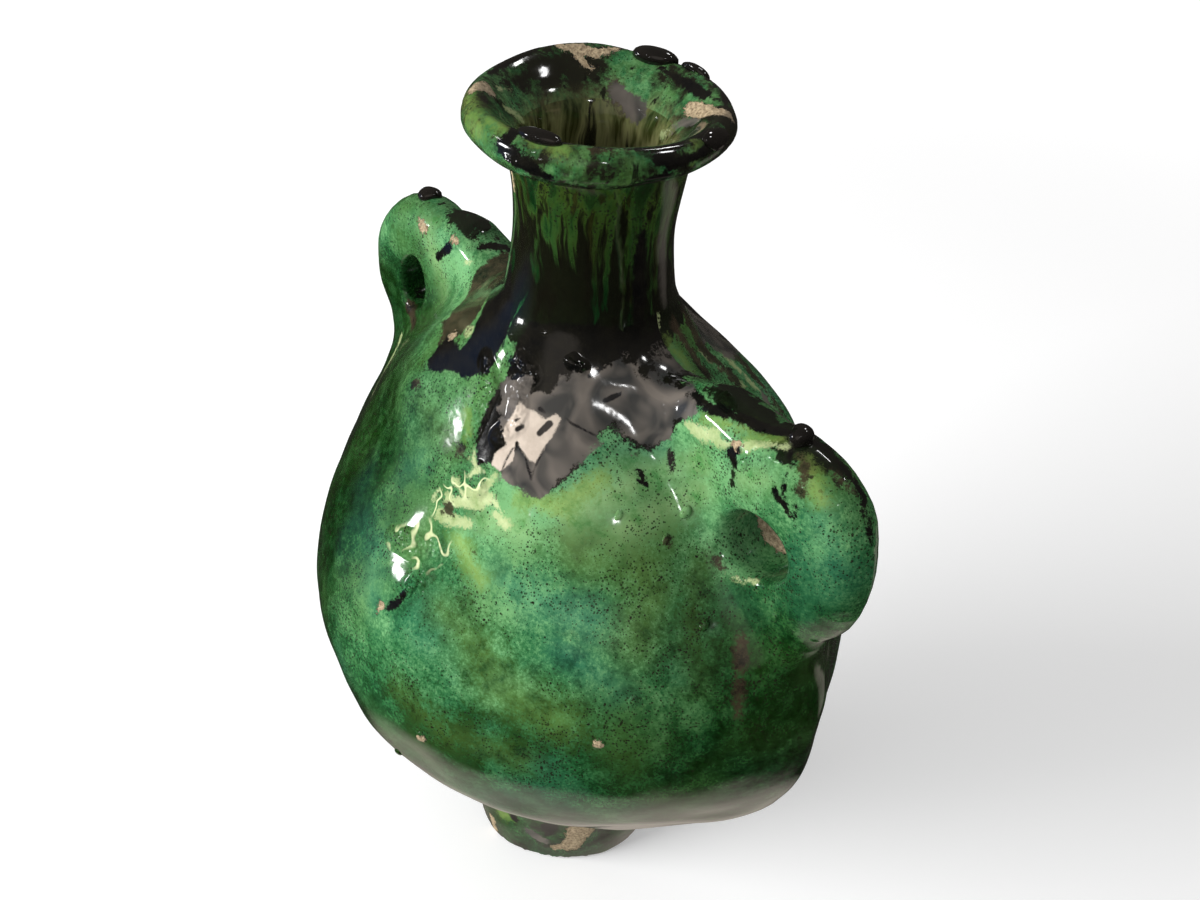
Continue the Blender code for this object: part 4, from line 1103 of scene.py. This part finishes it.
    # then the rust, the painted shade that multiplies the green, and the olive band under the belly, partly a
    # painted reflection of the shaded board
    coats += [(neck_rust, "#3A2410"), (rust, "#1B1C12"), (dark, "#54723E"), (underside, "#3A3A20")]
    coats += [(speck, "#1A1B10") for speck in specks] + [(throat, brown), (soot, "#0C0B07")]
    for layer, looks in LAYER_LOOKS.items():
        coats.append(lay(layer, looks))
        if layer == "cream_bloom":
            coats.append((line, curl_code))
    colour = linear("#143E1C")
    for share, coat in coats:
        colour = node(tree, "Mix", {
            FACTOR: share, FIRST: colour, SECOND: linear(coat) if isinstance(coat, str) else coat
        }, data_type="RGBA", blend_type="MULTIPLY" if share is dark else "MIX")
    clay = coats[-1][0]
    # relief in millimetres: waves, wrinkles in the froth, and the sandy clay a little below the coat
    froth = node(tree, "Attribute", attribute_name="froth").outputs["Fac"]
    froth = node(tree, "MapRange", {0: froth, 1: 2.0, 2: -2.0, 4: 2.6}, interpolation_type="SMOOTHSTEP")
    wrinkles = node(tree, "Math", {0: noise["wrinkles"], 1: froth}, operation="MULTIPLY")
    relief = node(tree, "Math", {0: noise["waves"], 1: 0.12, 2: wrinkles}, operation="MULTIPLY_ADD")
    sand = node(tree, "Math", {0: noise["grain"], 1: 0.9, 2: -0.9}, operation="MULTIPLY_ADD")
    relief = node(tree, "Mix", {0: clay, 2: relief, 3: sand})
    feed(tree, shader, {
        "IOR": 1.56, "Base Color": colour,
        "Roughness": node(tree, "MapRange", {0: clay, 3: roughness, 4: 0.85}),
        "Normal": node(tree, "Bump", {"Height": relief, "Distance": 1 / MM, "Strength": 1.0}),
    })
    return material


def black_glaze():
    """Iron-black glaze that ran together into drops: smooth as glass, with a brown cast where it is thin."""
    material, tree, shader = new_material("iron_black_glaze")
    cloud = node(tree, "TexNoise", {
        "Vector": node(tree, "TexCoord").outputs["Object"], "Scale": MM / 6, "Detail": 2.0
    })
    colour = node(tree, "Mix", {
        FACTOR: cloud, FIRST: linear("#050608"), SECOND: linear("#1D1A16")
    }, data_type="RGBA")
    feed(tree, shader, {"Base Color": colour, "Roughness": 0.05, "IOR": 1.6})
    return material


# node: its glaze's name, how much darker it is, how far its runs are drawn out, its iron and its roughness
GLAZE_LOOKS = {
    "body_half_front": ("front", 0.0, 0.8, 0.12, 0.10), "body_half_back": ("back", 0.0, 0.8, 0.12, 0.10),
    "foot_ring": ("foot", -0.12, 0.8, 0.60, 0.12), "neck_tube": ("neck", 0.0, 0.8, 0.12, 0.09),
    "lip_roll": ("lip", -0.10, 0.25, 0.82, 0.09), "lug_right": ("right_lug", 0.0, 0.8, 0.12, 0.10),
    "lug_left": ("left_lug", 0.0, 0.8, 0.12, 0.10),
}
GLAZES = {
    node_name: copper_glaze(name + "_copper_glaze", *looks)
    for node_name, (name, *looks) in GLAZE_LOOKS.items()
}
for node_name, piece in CLAY.items():
    lay_glazes(piece)
    piece.data.materials.clear()
    piece.data.materials.append(GLAZES[node_name])


# Drops of black glaze that froze where they hung

DROP_FULLNESS = 2.4             # 2 is a half ellipse, and more is fuller towards the rim
DROP_SUNK, DROP_UNDER = 0.25, 0.6       # how deep its rim and its underside lie in the coat, in millimetres


def glaze_drop(name, material, centre, along, half_length, half_width, height):
    """A closed dome that lies on the vase round a point, with its long way turned along a direction."""
    turns, rings = 36, 9
    centre = pull_to(vase_distance, np.array([centre], float), 6)
    up = gradient(vase_distance, centre)[0]
    up /= np.linalg.norm(up)
    long = np.array(along, float) - up * (up @ np.array(along, float))
    long /= np.linalg.norm(long)
    wide = np.cross(up, long)
    share = np.repeat(np.linspace(0, 1, rings + 1)[1:], turns)
    turn = np.tile(np.linspace(0, math.tau, turns, endpoint=False), rings)
    spread = share * (1 + 0.10 * np.sin(2 * turn + half_length) + 0.06 * np.sin(3 * turn))
    flat = centre + np.outer(spread * np.cos(turn) * half_length, long)
    flat += np.outer(spread * np.sin(turn) * half_width, wide)
    flat = np.vstack([centre, flat])
    on_wall = pull_to(vase_distance, flat, 4)
    normals = gradient(vase_distance, on_wall)
    normals /= np.linalg.norm(normals, axis=1, keepdims=True)
    share = np.concatenate([[0], share])
    rise = height * np.sqrt(np.clip(1 - share ** DROP_FULLNESS, 0, 1)) - DROP_SUNK
    top, under = on_wall + normals * rise[:, None], on_wall - normals * DROP_UNDER
    form = bmesh.new()
    tops = [form.verts.new(point / MM) for point in top]
    rim = 1 + turns * (rings - 1)           # the top and the underside share their last ring
    unders = [form.verts.new(point / MM) for point in under[:rim]] + tops[rim:]
    for skin in (tops, unders):
        for j in range(turns):
            k = (j + 1) % turns
            form.faces.new((skin[0], skin[1 + j], skin[1 + k]))
            for ring in range(rings - 1):
                a, b = 1 + ring * turns, 1 + (ring + 1) * turns
                form.faces.new((skin[a + j], skin[b + j], skin[b + k], skin[a + k]))
    bmesh.ops.recalc_face_normals(form, faces=form.faces)
    drop = from_form(name, form)
    drop.data.shade_smooth()
    drop.data.materials.append(material)
    return drop


BLACK = black_glaze()
# node: the long way, then half the length, half the width and the height
DROPS = {
    "lip_glaze_bead_front": ((1.0, 0.2, 0.3), 7.5, 4.0, 2.6),
    "lip_glaze_bead_back": ((1.0, 0.5, 0.0), 7.5, 5.5, 3.4),
    "lip_glaze_bead_side": ((1.0, -0.3, 0.0), 6.0, 4.4, 2.4),
    "lip_glaze_bead_end": ((0.3, 1.0, 0.0), 6.5, 4.0, 2.0),
    "lug_right_glaze_bead": ((1.0, 0.0, -0.1), 4.3, 3.9, 4.6),
    "lug_left_glaze_bead": ((1.0, 0.0, 0.1), 5.4, 4.2, 3.2),
}
for node_name, (along, half_length, half_width, height) in DROPS.items():
    low, high = box_mm(node_name)
    drop = glaze_drop(node_name, BLACK, (low + high) / 2, along, half_length, half_width, height)
    sit(drop, node_name)


BLISTER_WAY, BLISTER_STRETCH = (0.3, 0.1, 1.0), 1.25   # the way a blister is drawn out, and how far
# Blisters in the green glaze, each a place, its half width and its height
BLISTERS = [
    (70, -16, 234, 1.9, 1.3), (92, -25, 206, 1.8, 1.2), (71, -25, 228, 1.5, 0.8), (108, -11, 214, 1.6, 0.9),
    (86, -14, 262, 2.0, 1.0), (59, -35, 235, 1.5, 0.7), (88, -50, 184, 1.7, 0.8), (85, -61, 167, 2.2, 0.9),
    (32, -96, 145, 2.4, 1.0), (-45, -38, 262, 1.4, 0.8), (11, -86, 193, 2.4, 0.9), (10, -92, 112, 2.0, 1.1),
    (20, 66, 236, 2.0, 1.0), (-34, 74, 200, 1.8, 0.9), (46, 84, 176, 1.6, 0.8), (-80, 44, 190, 1.7, 0.9),
]
for number, (x, y, z, half, height) in enumerate(BLISTERS):
    side = "front" if y < 0 else "back"
    blister = glaze_drop(
        "glaze_blister_%d" % (number + 1), GLAZES["body_half_" + side], (x, y, z), BLISTER_WAY,
        BLISTER_STRETCH * half, half, height,
    )
    lay_glazes(blister)
    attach(blister, "root")


# The floor, the studio and its window

def matte_floor():
    """Matt white board. The little light that it gives off is seen by the camera alone and takes the
    board to white where no shadow falls."""
    material, tree, shader = new_material("matte_white_board")
    # the far board melts into the background
    away = node(tree, "VectorMath", {0: node(tree, "TexCoord").outputs["Object"]}, operation="LENGTH")
    glow = node(tree, "MapRange", {
        0: away, 1: 0.6, 2: 2.0, 3: 0.24, 4: 0.8
    }, interpolation_type="SMOOTHSTEP")
    glow = node(tree, "Math", {
        0: node(tree, "LightPath").outputs["Is Camera Ray"], 1: glow
    }, operation="MULTIPLY")
    feed(tree, shader, {
        "Base Color": linear("#F6F6F6"), "Roughness": 1.0, "Specular IOR Level": 0.0,
        "Emission Color": (1, 1, 1, 1), "Emission Strength": glow,
    })
    return material


def way_to(side, rise):
    """The direction of a lamp, by its side from the front and its rise, in degrees."""
    side, rise = math.radians(side), math.radians(rise)
    return Vector((math.sin(side) * math.cos(rise), -math.cos(side) * math.cos(rise), math.sin(rise)))


BOARD_RADIUS, WALLS_RADIUS = 8.0, 2.9       # in metres
SKY_STRENGTH = 0.51
LAMP_AIM = Vector((0, 0, 0.17))             # the middle of the vase
LAMP_AWAY = 2.5                             # how far the lamps are from it
# name, side from the front and rise in degrees, width and height in metres, watts, and whether it is what
# the glaze mirrors or what lights it
LAMPS = [
    ("soft_window", -26, 20, 1.50, 0.80, 84.0, False),
    ("window_pane", -36, 13, 0.28, 0.24, 9.0, True),
    ("upper_pane", -2, 18, 0.03, 0.09, 0.34, True),
    ("side_pane", 60, 42, 0.10, 0.10, 1.4, True),
    ("left_pane", -46, 24, 0.06, 0.05, 0.5, True),
    ("high_pane", -14, 34, 0.05, 0.04, 0.34, True),
    ("back_skylight", -165, 52, 0.40, 0.22, 7.0, True),
    ("far_skylight", 145, 54, 0.24, 0.20, 4.0, True),
]


def painted_walls():
    """Warm grey paint, brighter on the sunlit wall to the right and dim near the ground."""
    material, tree, shader = new_material("warm_grey_wall_paint")
    tree.nodes.remove(shader)
    way = node(tree, "VectorMath", {
        0: node(tree, "TexCoord").outputs["Object"], "Scale": 1 / WALLS_RADIUS
    }, operation="SCALE")
    rise = node(tree, "SeparateXYZ", {0: way}).outputs[2]
    # the sunlit wall, the far end of the white board behind the neck, and blue daylight beside the window
    lit, far_board, day = (
        node(tree, "MapRange", {
            0: node(tree, "VectorMath", {0: way, 1: towards}, operation="DOT_PRODUCT"),
            1: start, 2: full, 4: most,
        }, interpolation_type="SMOOTHSTEP") for towards, start, full, most in (
            ((0.34655, -0.74317, 0.57), 0.90, 0.97, 0.42), ((0.22, 0.85, -0.48), 0.965, 0.995, 0.4),
            ((-0.766, -0.640, 0.05), 0.85, 1.0, 1.0),
        )
    )
    plain = node(tree, "MapRange", {0: rise, 1: -0.10, 2: 0.7, 3: 0.03, 4: 0.14})
    board = node(tree, "MapRange", {0: rise, 1: -0.80, 2: -0.90, 4: 0.70})
    strength = node(tree, "Math", {0: day, 1: 0.22, 2: plain}, operation="MULTIPLY_ADD")
    for part in (lit, board, far_board):
        strength = node(tree, "Math", {0: strength, 1: part}, operation="ADD")
    hue = node(tree, "Mix", {
        FACTOR: day, FIRST: linear("#E8DCCF"), SECOND: linear("#7FA8F0")
    }, data_type="RGBA")
    feed(tree, tree.nodes["Material Output"], {
        "Surface": node(tree, "Emission", {"Color": hue, "Strength": strength})
    })
    return material


def studio():
    """A white board to stand on, dim walls for the glaze to mirror, and one wide window to the front left."""
    form = bmesh.new()
    bmesh.ops.create_circle(form, cap_ends=True, segments=64, radius=BOARD_RADIUS)
    board = from_form("board", form)
    board.data.materials.append(matte_floor())
    board.visible_glossy = False
    form = bmesh.new()
    bmesh.ops.create_uvsphere(form, u_segments=48, v_segments=24, radius=WALLS_RADIUS)
    walls = from_form("studio_walls", form)
    walls.data.shade_smooth()
    walls.data.materials.append(painted_walls())
    walls.visible_camera = walls.visible_diffuse = walls.visible_shadow = walls.visible_transmission = False
    for name, side, rise, width, tall, watts, mirrored in LAMPS:
        light = bpy.data.lights.new(name, "AREA")
        light.shape, light.size, light.size_y, light.energy = "RECTANGLE", width, tall, watts
        lamp = new_object(name, light)
        way = way_to(side, rise)
        lamp.location = LAMP_AIM + LAMP_AWAY * way
        lamp.rotation_euler = (-way).to_track_quat("-Z", "Y").to_euler()
        lamp.visible_glossy, lamp.visible_diffuse = mirrored, not mirrored
    world = bpy.data.worlds.new("soft_daylight")
    bpy.context.scene.world = world
    world.use_nodes = True
    tree = world.node_tree
    # white where the camera sees it, in mirrors too, and dimmer where it lights the vase
    paths = node(tree, "LightPath").outputs
    seen = paths["Is Camera Ray"]
    for path in ("Is Glossy Ray", "Is Transmission Ray"):
        seen = node(tree, "Math", {0: seen, 1: paths[path]}, operation="MAXIMUM")
    feed(tree, tree.nodes["Background"], {
        "Color": (1, 1, 1, 1), "Strength": node(tree, "MapRange", {0: seen, 3: SKY_STRENGTH, 4: 1.0})
    })
    bpy.context.scene.view_settings.view_transform = "Standard"


studio()


# The camera, set to the photograph's view

# the turn to the left, the pitch down, the roll and the yaw, in degrees
VIEW = (48.48, 38.87, 3.74, 1.09)
VIEW_OUT, VIEW_UP = 0.3623, 0.4988      # how far the lens is from the vase's axis and from the ground
LENS, SENSOR = 37.5, 36.0               # in millimetres


def look():
    turn, pitch, roll, yaw = (math.radians(angle) for angle in VIEW)
    ahead = Vector((-math.sin(turn), math.cos(turn), 0))
    right = Vector((math.cos(turn), math.sin(turn), 0))
    place = Vector((0, 0, VIEW_UP)) - VIEW_OUT * ahead
    ahead, right = (
        math.cos(yaw) * ahead + math.sin(yaw) * right, math.cos(yaw) * right - math.sin(yaw) * ahead
    )
    up = math.sin(pitch) * ahead + Vector((0, 0, math.cos(pitch)))
    ahead = math.cos(pitch) * ahead - Vector((0, 0, math.sin(pitch)))
    side = math.cos(roll) * right + math.sin(roll) * up
    top = math.cos(roll) * up - math.sin(roll) * right
    lens = bpy.data.cameras.new("camera")
    lens.sensor_width, lens.lens, lens.clip_start = SENSOR, LENS, 0.01
    camera = new_object("camera", lens)
    camera.matrix_world = Matrix([*zip(side, top, -ahead, place), (0, 0, 0, 1)])
    bpy.context.scene.camera = camera


look()
